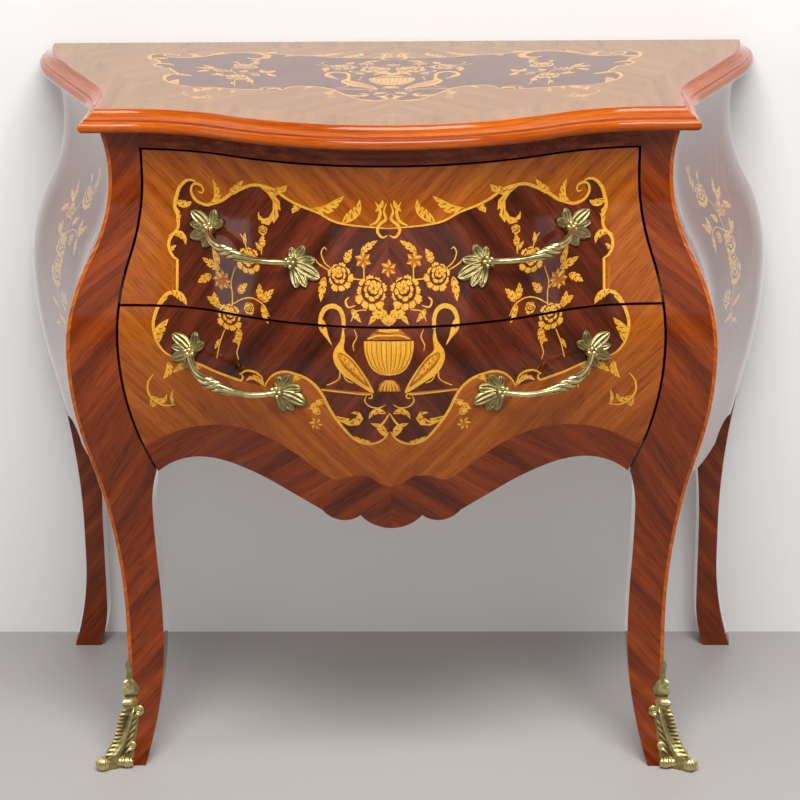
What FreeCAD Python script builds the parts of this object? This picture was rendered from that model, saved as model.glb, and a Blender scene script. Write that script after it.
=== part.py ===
"""Bombe chest of two drawers, as a parametric FreeCAD document (millimetres, +Z up).

The origin is under the middle of the chest, on the floor. The front faces -Y, and left and right
are those of someone who stands in front of it.

One swell profile, swell(z), shapes every upright surface. The front is that profile carried along
the serpentine plan line front_y(x), and the sides are the same profile carried along side_x(y), so
legs, drawer fronts and side panels all meet in one surface.
"""
import FreeCAD, Part
import math
import os
import re
import Sketcher
from FreeCAD import Placement, Rotation, Vector

SIZES = [
    # the case as a whole
    ("height", 785, "floor to the top"),
    ("case_depth", 343, "back to the front corners, at the neck"),
    ("arris_half", 312, "middle to the front corners, at the neck"),
    ("front_bow", 82, "how far the front swells forward in plan"),
    ("bow_half", 285, "half the width of that bow"),
    ("bow_share", 0.6, "share of the bow's two radii that the middle arc has"),
    ("side_flare", 95, "how much wider each side is at the back than at the front"),
    ("flare_angle", 24.2, "steepest angle of the side in plan, degrees"),
    ("flare_share", 0.43, "share of the side's two radii that the front arc has"),
    # the swell profile, as distances outwards from the neck line
    ("neck_height", 710, "height of the narrowest point under the top"),
    ("neck_sink", 4.5, "how far that point lies inside the neck line"),
    ("neck_share", 0.47, "share of the upper radii that the neck arc has"),
    ("belly_height", 518, "height of the widest point"),
    ("belly_swell", 45, "how far the widest point stands out"),
    ("belly_share", 0.34, "share of the lower radii that the belly arc has"),
    ("ankle_height", 165, "height where the legs become upright"),
    ("foot_height", 125, "height where the feet start to flare"),
    ("foot_flare", 20, "how far the toes stand out"),
    # the front legs
    ("leg_depth", 46.5, "corner to the apron's end, and to the side panel"),
    ("leg_neck", 40.3, "corner line to the drawer opening at the neck"),
    ("leg_belly", 56, "visible width at the belly"),
    ("opening_belly_height", 535, "height where the drawer opening is widest"),
    ("apron_corner_height", 374, "height where the aprons meet the legs"),
    ("knee_height", 322, "height of the knee under the apron"),
    ("leg_knee", 38.7, "corner line to the inner edge at the knee"),
    ("leg_ankle", 43, "corner line to the inner edge at the ankle"),
    ("leg_toe", 37, "visible width at the floor"),
    # the rear legs
    ("rear_leg_depth", 45, "front to back, above the apron"),
    ("rear_leg_ankle_depth", 36, "front to back, at the ankle"),
    ("rear_leg_width", 35, "neck line at the back to the inner face"),
    ("rear_leg_ankle", 27, "neck line at the back to the inner face, at the ankle"),
    ("rear_leg_toe", 36, "visible width at the floor"),
    # the top and its moulding
    ("top_thickness", 24, "thickness of the top and its moulding"),
    ("top_overhang", 22, "neck line to the moulding's nose"),
    ("top_arris", 6, "neck line to the edge of the flat top"),
    ("top_joint", 2, "neck line to the joint of panel and moulding"),
    ("nose_height", 12.5, "height of the moulding's round nose"),
    ("quirk_depth", 6, "step above the nose, inwards"),
    ("quirk_rise", 2, "step above the nose, upwards"),
    ("top_lip", 1.5, "upright edge of the flat top"),
    ("top_hollow", 1.5, "depth of the hollow between the step and that edge"),
    # panels, rails and runners
    ("panel_thickness", 22, "side panels"),
    ("stave_width", 40, "widest stave that the fronts and side panels are built up of"),
    ("rail_thickness", 16, "front and back rails between the drawers"),
    ("top_rail_height", 20, "front rail over the upper drawer"),
    ("rail_width", 26, "back rails of the drawer frames, front to back"),
    ("rail_setback", 3, "drawer front to the rail behind it"),
    ("board_thickness", 8, "dust board and bottom board"),
    ("runner_inner", 236, "middle to the runners"),
    ("runner_outer", 290, "middle to the runners' outer edge"),
    ("guide_width", 18, "drawer guides, across"),
    ("guide_height", 18, "drawer guides, up"),
    ("kicker_width", 22, "kickers above the upper drawer"),
    ("kicker_height", 28, "kickers above the upper drawer"),
    ("back_thickness", 18, "back rails"),
    ("back_panel_thickness", 10, "back panel"),
    ("back_panel_inset", 4, "inner face of the back rails to the back panel"),
    ("back_rail_height", 40, "bottom rail of the back"),
    ("back_top_rail_height", 20, "top rail of the back"),
    ("floor_height", 404, "floor to the underside of the bottom board"),
    ("stop_width", 30, "drawer stops"),
    ("stop_depth", 14, "drawer stops"),
    ("stop_height", 5, "drawer stops"),
    ("stop_middle", 120, "middle to the drawer stops"),
    ("stop_gap", 1.6, "hollow of the drawer front to its stops"),
    ("block_length", 30, "glue blocks under the top"),
    ("block_size", 24, "glue blocks under the top"),
    ("screw_radius", 2.2, "screws that hold the top"),
    ("screw_length", 34, "screws that hold the top"),
    ("screw_head", 4.4, "radius of their heads"),
    ("front_screw", 217, "middle to the outer screws of the front rail"),
    ("back_screw", 260, "middle to the screws of the back rail"),
    # the drawers
    ("seam_height", 574, "middle of the joint between the drawers"),
    ("drawer_gap", 2, "gap all round the drawer fronts"),
    ("front_thickness", 26, "drawer fronts"),
    ("drawer_half", 262, "half the width of the drawer boxes"),
    ("drawer_side", 12, "thickness of drawer sides and backs"),
    ("drawer_bottom", 7, "thickness of drawer bottoms"),
    ("bottom_lift", 7, "edge of the sides to the drawer bottom"),
    ("running_gap", 0.6, "drawer sides to runners and guides"),
    ("kicker_gap", 2, "drawer sides to what is above them"),
    ("drawer_end", 30, "back of the chest to the back of the drawers"),
    ("tail_count", 3, "dovetails at each rear corner"),
    ("tail_gap", 12, "between the dovetails, at their wide end"),
    ("tail_slope", 3, "how much each flank of a dovetail splays"),
    # the scalloped aprons: heights above the floor, distances from their middle
    ("pendant_height", 335.4, "bottom of the middle pendant"),
    ("pendant_half", 34, "middle to the notch beside the pendant"),
    ("notch_height", 351.4, "notch beside the pendant"),
    ("lobe_middle", 53, "middle to the bottom of the side lobe"),
    ("lobe_height", 343.7, "bottom of the side lobe"),
    ("lobe_end", 76, "middle to the end of the side lobe"),
    ("lobe_end_height", 355, "height of that end"),
    ("arch_start", 122, "middle to the start of the arch"),
    ("arch_start_height", 380, "height of that start"),
    ("arch_middle", 201, "middle to the top of the arch"),
    ("arch_height", 399.5, "top of the arch"),
    ("side_lobe_height", 300, "bottom of the side apron's lobe"),
    ("side_notch", 55, "middle of the side apron to its notches"),
    ("side_notch_height", 311, "height of those notches"),
    ("side_arch", 100, "middle of the side apron to its arches"),
    ("side_arch_height", 331, "height where those arches turn"),
    ("side_hollow", 12, "bulge of the side apron's edge beside the notches"),
    ("side_shoulder", 1.5, "bulge of its edge up to the legs"),
    # handles and foot mounts
    ("handle_span", 112, "knuckle to knuckle"),
    ("handle_sag", 15, "how far the bar drops under the knuckles"),
    ("handle_low", 42, "outer knuckle to the lowest point of the bar"),
    ("handle_reach", 28, "drawer front to the middle of the bar"),
    ("bar_end_radius", 3.4, "bar beside the knuckles"),
    ("bar_middle_radius", 6.2, "bar at its lowest point"),
    ("knuckle_radius", 7, "knuckles"),
    ("knuckle_height", 11, "knuckles"),
    ("post_radius", 4.4, "posts that carry the knuckles"),
    ("leaf_count", 6, "leaves round each knuckle"),
    ("leaf_spread", 250, "angle that they fan over, degrees"),
    ("leaf_root", 2, "knuckle's middle to the root of a leaf"),
    ("leaf_length", 27, "knuckle's middle to the tip of a leaf"),
    ("leaf_width", 11, "leaves"),
    ("leaf_proud", 3.5, "how far the leaves stand proud"),
    ("scribe_depth", 5.5, "spare on the castings, before they are fitted to the front"),
    ("bolt_radius", 2, "handle bolts"),
    ("bolt_clearance", 0.08, "bolt to its hole, all round"),
    ("bolt_end", 2, "how far the bolts stand out of their nuts"),
    ("nut_radius", 6, "handle nuts"),
    ("nut_thickness", 4, "handle nuts"),
    ("upper_handle_inner", 105, "middle of the chest to the inner knuckle"),
    ("upper_handle_inner_height", -22, "middle of the upper front up to the inner knuckle"),
    ("upper_handle_outer", 200, "middle of the chest to the outer knuckle"),
    ("upper_handle_outer_height", 1, "middle of the upper front up to the outer knuckle"),
    ("lower_handle_inner", 121, "middle of the chest to the inner knuckle"),
    ("lower_handle_inner_height", 496, "floor to the inner knuckle"),
    ("lower_handle_outer", 220, "middle of the chest to the outer knuckle"),
    ("lower_handle_outer_height", 524, "floor to the outer knuckle"),
    ("sabot_height", 132, "foot mounts, floor to the tip"),
    ("sabot_width", 34, "foot mounts, corner to the edge of the leaf at the floor"),
    ("sabot_tip_width", 4.5, "the same at the tip"),
    ("sabot_stem_width", 9, "the same at the foot of the stem"),
    ("sabot_stem_height", 96, "height of the foot of the stem"),
    ("sabot_curl_width", 25.5, "corner to the edge of the side curl"),
    ("sabot_waist_width", 20.5, "corner to the edge under the curl"),
    ("sabot_waist_height", 79, "height of the edge under the curl"),
    ("sabot_leaf_width", 24.5, "corner to the edge of the leaf over the toe"),
    ("sabot_thickness", 3, "foot mounts"),
    ("sabot_roll", 16, "how far the rolled toe stands out"),
    ("sabot_roll_height", 45, "height where the toe starts to roll"),
    ("sabot_instep", 2, "how full the hollow over the rolled toe is"),
    ("pin_radius", 1.2, "pins of the foot mounts"),
    ("pin_head", 2.2, "radius of their heads"),
    ("pin_inset", 14, "corner to the pins"),
    ("pin_length", 14, "pins of the foot mounts"),
]

document = FreeCAD.newDocument("bombe_chest")
sheet = document.addObject("Spreadsheet::Sheet", "sizes")
for row, (alias, value, meaning) in enumerate(SIZES, start=1):
    sheet.set(f"A{row}", meaning)
    sheet.set(f"B{row}", str(value))
    sheet.setAlias(f"B{row}", alias)
document.recompute()

# Places that several pieces share, as expressions on the sheet's cells.
BACK = "((case_depth + belly_swell + front_bow) / 2)"
NECK = f"({BACK} - case_depth)"
LEG_BACK = f"({NECK} + leg_depth)"
REAR_LEG_FRONT = f"({BACK} - rear_leg_depth)"
REAR_INNER = "(arris_half + side_flare - rear_leg_width)"
UNDERSIDE = "(height - top_thickness)"
RAIL_TOP = "(seam_height + rail_thickness / 2)"
RAIL_UNDERSIDE = "(seam_height - rail_thickness / 2)"
FLOOR_TOP = "(floor_height + rail_thickness)"
TOP_RAIL_UNDERSIDE = f"({UNDERSIDE} - top_rail_height)"
DRAWER_BACK = f"({BACK} - drawer_end)"
BACK_FRAME = f"({BACK} - back_thickness)"

# The same places as numbers, for outlines that are worked out point by point.
back = (sheet.case_depth + sheet.belly_swell + sheet.front_bow) / 2
neck = back - sheet.case_depth
leg_back = neck + sheet.leg_depth
rear_leg_front = back - sheet.rear_leg_depth
rear_inner = sheet.arris_half + sheet.side_flare - sheet.rear_leg_width
underside = sheet.height - sheet.top_thickness
rail_top = sheet.seam_height + sheet.rail_thickness / 2
rail_underside = sheet.seam_height - sheet.rail_thickness / 2
floor_top = sheet.floor_height + sheet.rail_thickness
top_rail_underside = underside - sheet.top_rail_height
drawer_back = back - sheet.drawer_end
back_frame = back - sheet.back_thickness


# ---------------------------------------------------------------- curves
class Curve:
    """A smooth curve v(t) of circular arcs and straight pieces, in order of rising t."""

    def __init__(self, *groups):
        self.pieces = sorted(piece for group in groups for piece in group)

    def piece_at(self, t):
        for piece in self.pieces:
            if t <= piece[1]:
                return piece
        return self.pieces[-1]

    def value(self, t):
        _, _, kind, t_ref, v_ref, size, side = self.piece_at(t)
        if kind == "line":
            return v_ref + size * (t - t_ref)
        return v_ref + side * math.sqrt(max(size ** 2 - (t - t_ref) ** 2, 0))

    def slope(self, t):
        _, _, kind, t_ref, v_ref, size, side = self.piece_at(t)
        if kind == "line":
            return size
        return -side * (t - t_ref) / math.sqrt(max(size ** 2 - (t - t_ref) ** 2, 1e-9))

    def point(self, t, offset=0):
        """The point at t, moved outwards at right angles to the curve by offset."""
        slope = self.slope(t)
        length = math.hypot(1, slope)
        return t - offset * slope / length, self.value(t) + offset / length

    def edges(self, first, last, place, offset=0):
        """The sketch edges from first to last, where place(t, v) gives the sketch's point."""
        low, high = min(first, last), max(first, last)
        inner = [piece[1] for piece in self.pieces if low + 1e-6 < piece[1] < high - 1e-6]
        stops = [low] + inner + [high]
        if first > last:
            stops.reverse()
        result = []
        for start, end in zip(stops, stops[1:]):
            middle = (start + end) / 2
            points = [place(*self.point(t, offset)) for t in (start, middle, end)]
            if self.piece_at(middle)[2] == "line":
                result.append(Part.LineSegment(points[0], points[2]))
            else:
                result.append(Part.Arc(*points))
        return result


def straight(t0, v0, t1, v1):
    """A straight piece between two points."""
    low, high = min(t0, t1), max(t0, t1)
    return [(low, high, "line", t0, v0, (v1 - v0) / (t1 - t0), 0)]


def level_arc(t0, v0, t1, v1):
    """An arc that is level at (t0, v0) and ends at (t1, v1)."""
    rise = v1 - v0
    side = math.copysign(1, rise)
    radius = ((t1 - t0) ** 2 + rise ** 2) / (2 * abs(rise))
    return [(min(t0, t1), max(t0, t1), "arc", t0, v0 + side * radius, radius, -side)]


def level_arcs(t0, v0, t1, v1, share=0.5):
    """Two tangent arcs, level at both ends. The first has this share of the two radii."""
    turn = 2 * math.atan2(abs(v1 - v0), abs(t1 - t0))
    radii = abs(t1 - t0) / math.sin(turn)
    first = radii * share
    second = radii - first
    up = math.copysign(1, v1 - v0)
    join = t0 + math.copysign(first * math.sin(turn), t1 - t0)
    return [(min(t0, join), max(t0, join), "arc", t0, v0 + up * first, first, -up),
            (min(join, t1), max(join, t1), "arc", t1, v1 - up * second, second, up)]


def mirrored(pieces):
    """The same pieces on the other side of t = 0."""
    return [(-high, -low, kind, -t_ref, v_ref, -size if kind == "line" else size, side)
            for low, high, kind, t_ref, v_ref, size, side in pieces]


def swell_curve():
    """How far the case stands out from the neck line at each height."""
    ankle = (sheet.ankle_height, 0)
    belly = (sheet.belly_height, sheet.belly_swell)
    neck_point = (sheet.neck_height, -sheet.neck_sink)
    lower = level_arcs(*belly, *ankle, sheet.belly_share)
    upper = level_arcs(*neck_point, *belly, sheet.neck_share)
    # The neck arc runs on up to the top.
    low, high, *arc = upper[0]
    upper[0] = (low, sheet.height, *arc)
    foot = level_arc(sheet.foot_height, 0, 0, sheet.foot_flare)
    return Curve(foot, straight(sheet.foot_height, 0, *ankle), lower, upper)


def bow_curve():
    """How far the front swells forward at each x."""
    half = level_arcs(0, sheet.front_bow, sheet.bow_half, 0, sheet.bow_share)
    half += straight(sheet.bow_half, 0, 2 * sheet.arris_half, 0)
    # The middle arc is one arc from side to side.
    low, high, *arc = half[0]
    middle = [(-high, high, *arc)]
    return Curve(middle, half[1:], mirrored(half[1:]))


def flare_curve():
    """How much further out each side is at each y: straight, arc, straight, arc."""
    run = back - leg_back
    turn = math.radians(sheet.flare_angle)
    sine, cosine = math.sin(turn), math.cos(turn)
    # radii * sine + length * cosine = run, and radii * (1 - cosine) + length * sine = flare
    length = (sheet.side_flare * sine - run * (1 - cosine)) / (sine ** 2 - cosine * (1 - cosine))
    radii = (run - length * cosine) / sine
    first = radii * sheet.flare_share
    second = radii - first
    start = (leg_back + first * sine, first * (1 - cosine))
    end = (start[0] + length * cosine, start[1] + length * sine)
    return Curve(
        straight(neck - 2 * sheet.top_overhang, 0, leg_back, 0),
        [(leg_back, start[0], "arc", leg_back, first, first, -1)],
        straight(*start, *end),
        [(end[0], back, "arc", back, sheet.side_flare - second, second, 1)])


swell = swell_curve()
bow = bow_curve()
flare = flare_curve()


def leg_inner_curve():
    """The front legs' inner edge in front view, as a half width at each height."""
    corner = (sheet.apron_corner_height, sheet.arris_half - sheet.leg_depth)
    belly = (sheet.opening_belly_height, sheet.arris_half + sheet.belly_swell - sheet.leg_belly)
    neck_point = (sheet.neck_height, sheet.arris_half - sheet.leg_neck)
    knee = (sheet.knee_height, sheet.arris_half - sheet.leg_knee)
    ankle = (sheet.ankle_height, sheet.arris_half - sheet.leg_ankle)
    toe = (0, sheet.arris_half + sheet.foot_flare - sheet.leg_toe)
    return Curve(
        level_arc(*ankle, *toe),
        level_arcs(*ankle, *knee),
        level_arc(*knee, *corner),
        level_arc(*belly, *corner),
        level_arcs(*belly, *neck_point),
        straight(*neck_point, sheet.height, neck_point[1]))


leg_inner = leg_inner_curve()


def front_surface(x, z):
    """The y of the front at a place on it."""
    return neck - swell.value(z) - bow.value(x)


# ---------------------------------------------------------------- helpers
pieces = []


def bind(text):
    """The same expression with each name looked up in the sheet."""
    return re.sub(r"[a-z]\w*", r"sizes.\g<0>", text)


def piece(item, label):
    """Names a finished sub-part and lists it for export."""
    item.Label = label
    pieces.append(item)
    return item


def blank(kind, name, **bindings):
    """A Part primitive or boolean whose properties are bound to the sheet."""
    item = document.addObject(kind, name)
    for prop, text in bindings.items():
        item.setExpression(prop.replace("__", "."), bind(text))
    return item


def faceted(name, radius, height, sides=6):
    """A small round metal part, drawn as an upright prism between its corners' radius."""
    item = blank("Part::Prism", name, Circumradius=radius, Height=height)
    item.Polygon = sides
    return item


def board(name, x, y, z):
    """A squared board between pairs of expressions for its faces."""
    item = document.addObject("Part::Box", name)
    for (low, high), length, axis in ((x, "Length", "x"), (y, "Width", "y"), (z, "Height", "z")):
        item.setExpression(length, bind(f"({high}) - ({low})"))
        item.setExpression(f"Placement.Base.{axis}", bind(low))
    return item


def new_body(name):
    return document.addObject("PartDesign::Body", name)


def plane(body, role):
    return next(item for item in body.Origin.OriginFeatures if item.Role == role)


def sketch(body, role, edges, lift=None):
    """A sketch on one of the body's own origin planes, lifted along its normal by an expression."""
    item = body.newObject("Sketcher::SketchObject", "outline")
    item.AttachmentSupport = [(plane(body, role), "")]
    item.MapMode = "FlatFace"
    if lift:
        item.setExpression("AttachmentOffset.Base.z", bind(lift))
    item.addGeometry(edges, False)
    return item


def polyline(*points, closed=False):
    """Straight edges through the given points."""
    corners = [Vector(*point, 0) for point in points]
    if closed:
        corners.append(corners[0])
    return [Part.LineSegment(a, b) for a, b in zip(corners, corners[1:])]


def polygon(radius, sides):
    """A regular polygon about the sketch's origin."""
    turns = [2 * math.pi * (number + 0.5) / sides for number in range(sides)]
    return polyline(*[(radius * math.cos(turn), radius * math.sin(turn)) for turn in turns],
                    closed=True)


def flat(a, b):
    return Vector(a, b, 0)


def bulged(start, end, bulge):
    """An arc between two points of a sketch that bulges to the right of the way it runs."""
    along = (end - start).normalize()
    return Part.Arc(start, (start + end) * 0.5 + flat(along.y, -along.x) * bulge, end)


def flattened(arc, count):
    """The arc as a number of equal flats, as a moulding plane leaves it before it is sanded."""
    first, last = arc.FirstParameter, arc.LastParameter
    corners = [arc.value(first + (last - first) * number / count) for number in range(count + 1)]
    return [Part.LineSegment(a, b) for a, b in zip(corners, corners[1:])]


def turned_round(edges):
    """The same arcs, run through from the last end to the first."""
    return [Part.Arc(edge.EndPoint, edge.value((edge.FirstParameter + edge.LastParameter) / 2),
                     edge.StartPoint) for edge in reversed(edges)]


def pad(body, profile, length, **settings):
    item = body.newObject("PartDesign::Pad", "pad")
    item.Profile = profile
    for name, value in settings.items():
        setattr(item, name, value)
    item.setExpression("Length", bind(length))
    return item


def cut_to_outline(body, role, edges, reach):
    """Pockets away all that lies outside a closed outline, straight through the body."""
    frame = polyline((-reach, -reach), (reach, -reach), (reach, reach), (-reach, reach), closed=True)
    document.recompute()
    before = body.Shape.Volume
    item = body.newObject("PartDesign::Pocket", "sawn_outline")
    item.Profile = sketch(body, role, frame + edges)
    item.Type = "ThroughAll"
    item.Midplane = True
    document.recompute()
    if not body.Shape.Volume < before:
        raise ValueError(f"the outline cuts nothing from {body.Name}")
    return item


def sweep(body, profile, path, mode="Fixed"):
    item = body.newObject("PartDesign::AdditivePipe", "sweep")
    item.Profile = profile
    item.Spine = path
    item.Mode = mode
    return item


def cut(name, base, *tools):
    """The base with the tools taken away."""
    item = document.addObject("Part::Cut", name)
    item.Base = base
    if len(tools) == 1:
        item.Tool = tools[0]
    else:
        item.Tool = group(f"{name}_tools", *tools)
    return item


def group(name, *members):
    item = document.addObject("Part::Compound", name)
    item.Links = list(members)
    return item


def twin(source):
    """The same shape on the other side of the chest."""
    item = document.addObject("Part::Mirroring", "twin")
    item.Source = source
    item.Normal = (1, 0, 0)
    return item


def mirror(source, label):
    """A left-hand sub-part, as the mirror image of the right-hand one."""
    return piece(twin(source), label)


# ---------------------------------------------------------------- legs
def strip(curve, low, high, place_outer, place_inner):
    """A closed section between a curve and a line of flat staves further in that follows it."""
    outer = curve.edges(low, high, place_outer)
    count = math.ceil((high - low) / sheet.stave_width)
    stops = [high + (low - high) * number / count for number in range(count + 1)]
    corners = [place_inner(z, curve.value(z)) for z in stops]
    inner = [Part.LineSegment(a, b) for a, b in zip(corners, corners[1:])]
    return close(outer, inner)


def close(*runs):
    """Joins runs of edges end to end with straight edges, the last one to the first."""
    edges = []
    for run, following in zip(runs, runs[1:] + runs[:1]):
        edges += run
        start, end = run[-1].EndPoint, following[0].StartPoint
        if start.distanceToPoint(end) > 1e-6:
            edges.append(Part.LineSegment(start, end))
    return edges


def front_leg():
    """A front leg, sawn from the square in two directions, as a cabriole leg is."""
    body = new_body("front_leg")
    outer = swell.edges(0, underside, lambda z, v: flat(sheet.arris_half + v, z))
    inner = leg_inner.edges(underside, 0, lambda z, v: flat(v, z))
    front_view = sketch(body, "XZ_Plane", close(outer, inner), lift=f"-{LEG_BACK}")
    pad(body, front_view, "leg_depth + belly_swell + foot_flare")
    corner = sheet.apron_corner_height
    face = swell.edges(0, underside, lambda z, v: flat(neck - v, z))
    heel = leg_inner.edges(corner, 0, lambda z, v: flat(neck + sheet.arris_half - v, z))
    straight_back = polyline((leg_back, underside), (leg_back, corner))
    cut_to_outline(body, "YZ_Plane", close(face, straight_back, heel), sheet.height * 2)
    return piece(body, "front_right_leg")


def rear_leg():
    """A rear leg: the swelling side carried a little way along the plan line, flat at the back."""
    body = new_body("rear_leg")
    start = sheet.arris_half + flare.value(rear_leg_front)
    neck_half = sheet.arris_half + sheet.side_flare
    inner_ankle = neck_half - sheet.rear_leg_ankle
    ankle, knee = sheet.ankle_height, sheet.knee_height
    toe_half = neck_half + sheet.foot_flare - sheet.rear_leg_toe
    inner = Curve(level_arc(sheet.foot_height / 2, inner_ankle, 0, toe_half),
                  straight(sheet.foot_height / 2, inner_ankle, ankle, inner_ankle),
                  level_arcs(ankle, inner_ankle, knee, rear_inner),
                  straight(knee, rear_inner, sheet.height, rear_inner))
    spare = start - 2 * sheet.rear_leg_width
    section = close(swell.edges(0, underside, lambda z, v: flat(start + v, z)),
                    polyline((spare, underside), (spare, 0)))
    path = flare.edges(rear_leg_front, back, lambda y, v: flat(sheet.arris_half + v, y))
    profile = sketch(body, "XZ_Plane", section, lift=f"-{REAR_LEG_FRONT}")
    sweep(body, profile, sketch(body, "XY_Plane", path))
    beyond = neck_half + 2 * sheet.belly_swell
    cut_to_outline(body, "XZ_Plane", close(inner.edges(underside, 0, lambda z, v: flat(v, z)),
                                           polyline((beyond, 0), (beyond, underside))),
                   sheet.height * 2)
    ankle_front = back - sheet.rear_leg_ankle_depth
    shin = Curve(straight(0, ankle_front, ankle, ankle_front),
                 level_arcs(ankle, ankle_front, knee, rear_leg_front),
                 straight(knee, rear_leg_front, sheet.height, rear_leg_front))
    beyond = back + sheet.rear_leg_depth
    outline = close(shin.edges(0, underside, lambda z, v: flat(v, z)),
                    polyline((beyond, underside), (beyond, 0)))
    cut_to_outline(body, "YZ_Plane", outline, sheet.height * 2)
    return piece(body, "rear_right_leg")


front_right_leg = front_leg()
front_left_leg = mirror(front_right_leg, "front_left_leg")
rear_right_leg = rear_leg()
rear_left_leg = mirror(rear_right_leg, "rear_left_leg")


# ---------------------------------------------------------------- side panels and back
def side_apron():
    """The scalloped lower edge of a side panel, from the front leg to the rear leg."""
    middle = (leg_back + rear_leg_front) / 2

    def bracket(sign):
        corner = flat(leg_back if sign < 0 else rear_leg_front, sheet.apron_corner_height)
        arch = flat(middle + sign * sheet.side_arch, sheet.side_arch_height)
        notch = flat(middle + sign * sheet.side_notch, sheet.side_notch_height)
        return [bulged(corner, arch, sign * sheet.side_shoulder * -1),
                bulged(arch, notch, sign * sheet.side_hollow * -1)]

    front, rear = bracket(-1), bracket(1)
    pendant = Part.Arc(front[-1].EndPoint, flat(middle, sheet.side_lobe_height),
                       rear[-1].EndPoint)
    return front + [pendant] + turned_round(rear)


def side_panel():
    """A side panel: the swell profile carried along the side's plan line."""
    body = new_body("side_panel")
    lowest = sheet.side_lobe_height - sheet.panel_thickness
    section = strip(swell, lowest, underside,
                    lambda z, v: flat(sheet.arris_half + v, z),
                    lambda z, v: flat(sheet.arris_half + v - sheet.panel_thickness, z))
    path = flare.edges(leg_back, rear_leg_front, lambda y, v: flat(sheet.arris_half + v, y))
    profile = sketch(body, "XZ_Plane", section, lift=f"-{LEG_BACK}")
    sweep(body, profile, sketch(body, "XY_Plane", path))
    top = polyline((rear_leg_front, underside), (leg_back, underside))
    cut_to_outline(body, "YZ_Plane", close(side_apron(), top), sheet.height * 2)
    return piece(body, "right_side_panel")


right_side_panel = side_panel()
left_side_panel = mirror(right_side_panel, "left_side_panel")

back_x = (f"-{REAR_INNER}", REAR_INNER)
piece(board("back_top_rail", back_x, (BACK_FRAME, BACK),
            (f"{UNDERSIDE} - back_top_rail_height", UNDERSIDE)), "back_top_rail")
piece(board("back_bottom_rail", back_x, (BACK_FRAME, BACK),
            ("floor_height", "floor_height + back_rail_height")), "back_bottom_rail")
piece(board("back_panel", back_x,
            (f"{BACK_FRAME} + back_panel_inset",
             f"{BACK_FRAME} + back_panel_inset + back_panel_thickness"),
            ("floor_height + back_rail_height", f"{UNDERSIDE} - back_top_rail_height")),
      "back_panel")


# ---------------------------------------------------------------- rails, runners and boards
def plan_board(name, label, edges, bottom, thickness):
    """A board of even thickness with a plan outline of its own."""
    body = new_body(name)
    pad(body, sketch(body, "XY_Plane", edges, lift=bottom), thickness)
    return piece(body, label) if label else body


def bowed_plan(half, front_offset, rear):
    """A plan outline with the bow as its front edge and a straight rear edge."""
    front = bow.edges(-half, half, lambda x, v: flat(x, front_offset - v))
    return close(front, polyline((half, rear), (-half, rear)))


opening_half = sheet.arris_half - sheet.leg_neck
plan_board("top_rail", "top_front_rail", bowed_plan(opening_half, neck, leg_back),
           TOP_RAIL_UNDERSIDE, "top_rail_height")


def hidden_rail(name, bottom, thickness):
    """A front rail behind the drawer fronts, scribed to the legs at its ends."""
    least_swell = min(swell.value(bottom), swell.value(bottom + sheet.rail_thickness))
    front = neck - least_swell + sheet.front_thickness + sheet.rail_setback
    body = plan_board(f"{name}_blank", None, bowed_plan(sheet.arris_half, front, leg_back),
                      thickness, "rail_thickness")
    return piece(cut(name, body, front_right_leg, front_left_leg), name)


hidden_rail("middle_front_rail", rail_underside, RAIL_UNDERSIDE)
hidden_rail("bottom_front_rail", sheet.floor_height, "floor_height")
piece(board("middle_back_rail", back_x, (f"{BACK_FRAME} - rail_width", BACK_FRAME),
            (RAIL_UNDERSIDE, RAIL_TOP)), "middle_back_rail")

middle_run = (LEG_BACK, f"{BACK_FRAME} - rail_width")
lower_run = (LEG_BACK, BACK_FRAME)
guide_x = ("drawer_half + running_gap", "drawer_half + running_gap + guide_width")
kicker_x = ("drawer_half - kicker_width", "drawer_half")
runner_x = ("runner_inner", "runner_outer")

frame_parts = [
    ("upper", "runner", runner_x, middle_run, (RAIL_UNDERSIDE, RAIL_TOP)),
    ("upper", "guide", guide_x, middle_run, (RAIL_TOP, f"{RAIL_TOP} + guide_height")),
    ("upper", "kicker", kicker_x, lower_run, (f"{UNDERSIDE} - kicker_height", UNDERSIDE)),
    ("lower", "runner", runner_x, lower_run, ("floor_height + board_thickness", FLOOR_TOP)),
    ("lower", "guide", guide_x, lower_run, (FLOOR_TOP, f"{FLOOR_TOP} + guide_height")),
]
for drawer, role, x, y, z in frame_parts:
    right = board(f"{drawer}_{role}", x, y, z)
    piece(right, f"{drawer}_right_{role}")
    mirror(right, f"{drawer}_left_{role}")


def drawer_stops(name, rail_cell, rail):
    """Two small blocks on a front rail that meet the inside of the drawer front."""
    edge = sheet.stop_middle + sheet.stop_width / 2
    least_swell = min(swell.value(rail), swell.value(rail + sheet.stop_height))
    near = (neck - least_swell - bow.value(edge) + sheet.front_thickness + sheet.stop_gap)
    blocks = [board("stop", (f"{sign} stop_middle - stop_width / 2",
                             f"{sign} stop_middle + stop_width / 2"),
                    (f"{near}", f"{near} + stop_depth"),
                    (rail_cell, f"{rail_cell} + stop_height")) for sign in ("-", "0 +")]
    return piece(group(name, *blocks), name)


drawer_stops("upper_drawer_stops", RAIL_TOP, rail_top)
drawer_stops("lower_drawer_stops", FLOOR_TOP, floor_top)
piece(board("dust_board", ("-runner_inner", "runner_inner"), middle_run,
            ("seam_height - board_thickness / 2", "seam_height + board_thickness / 2")),
      "dust_board")


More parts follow.
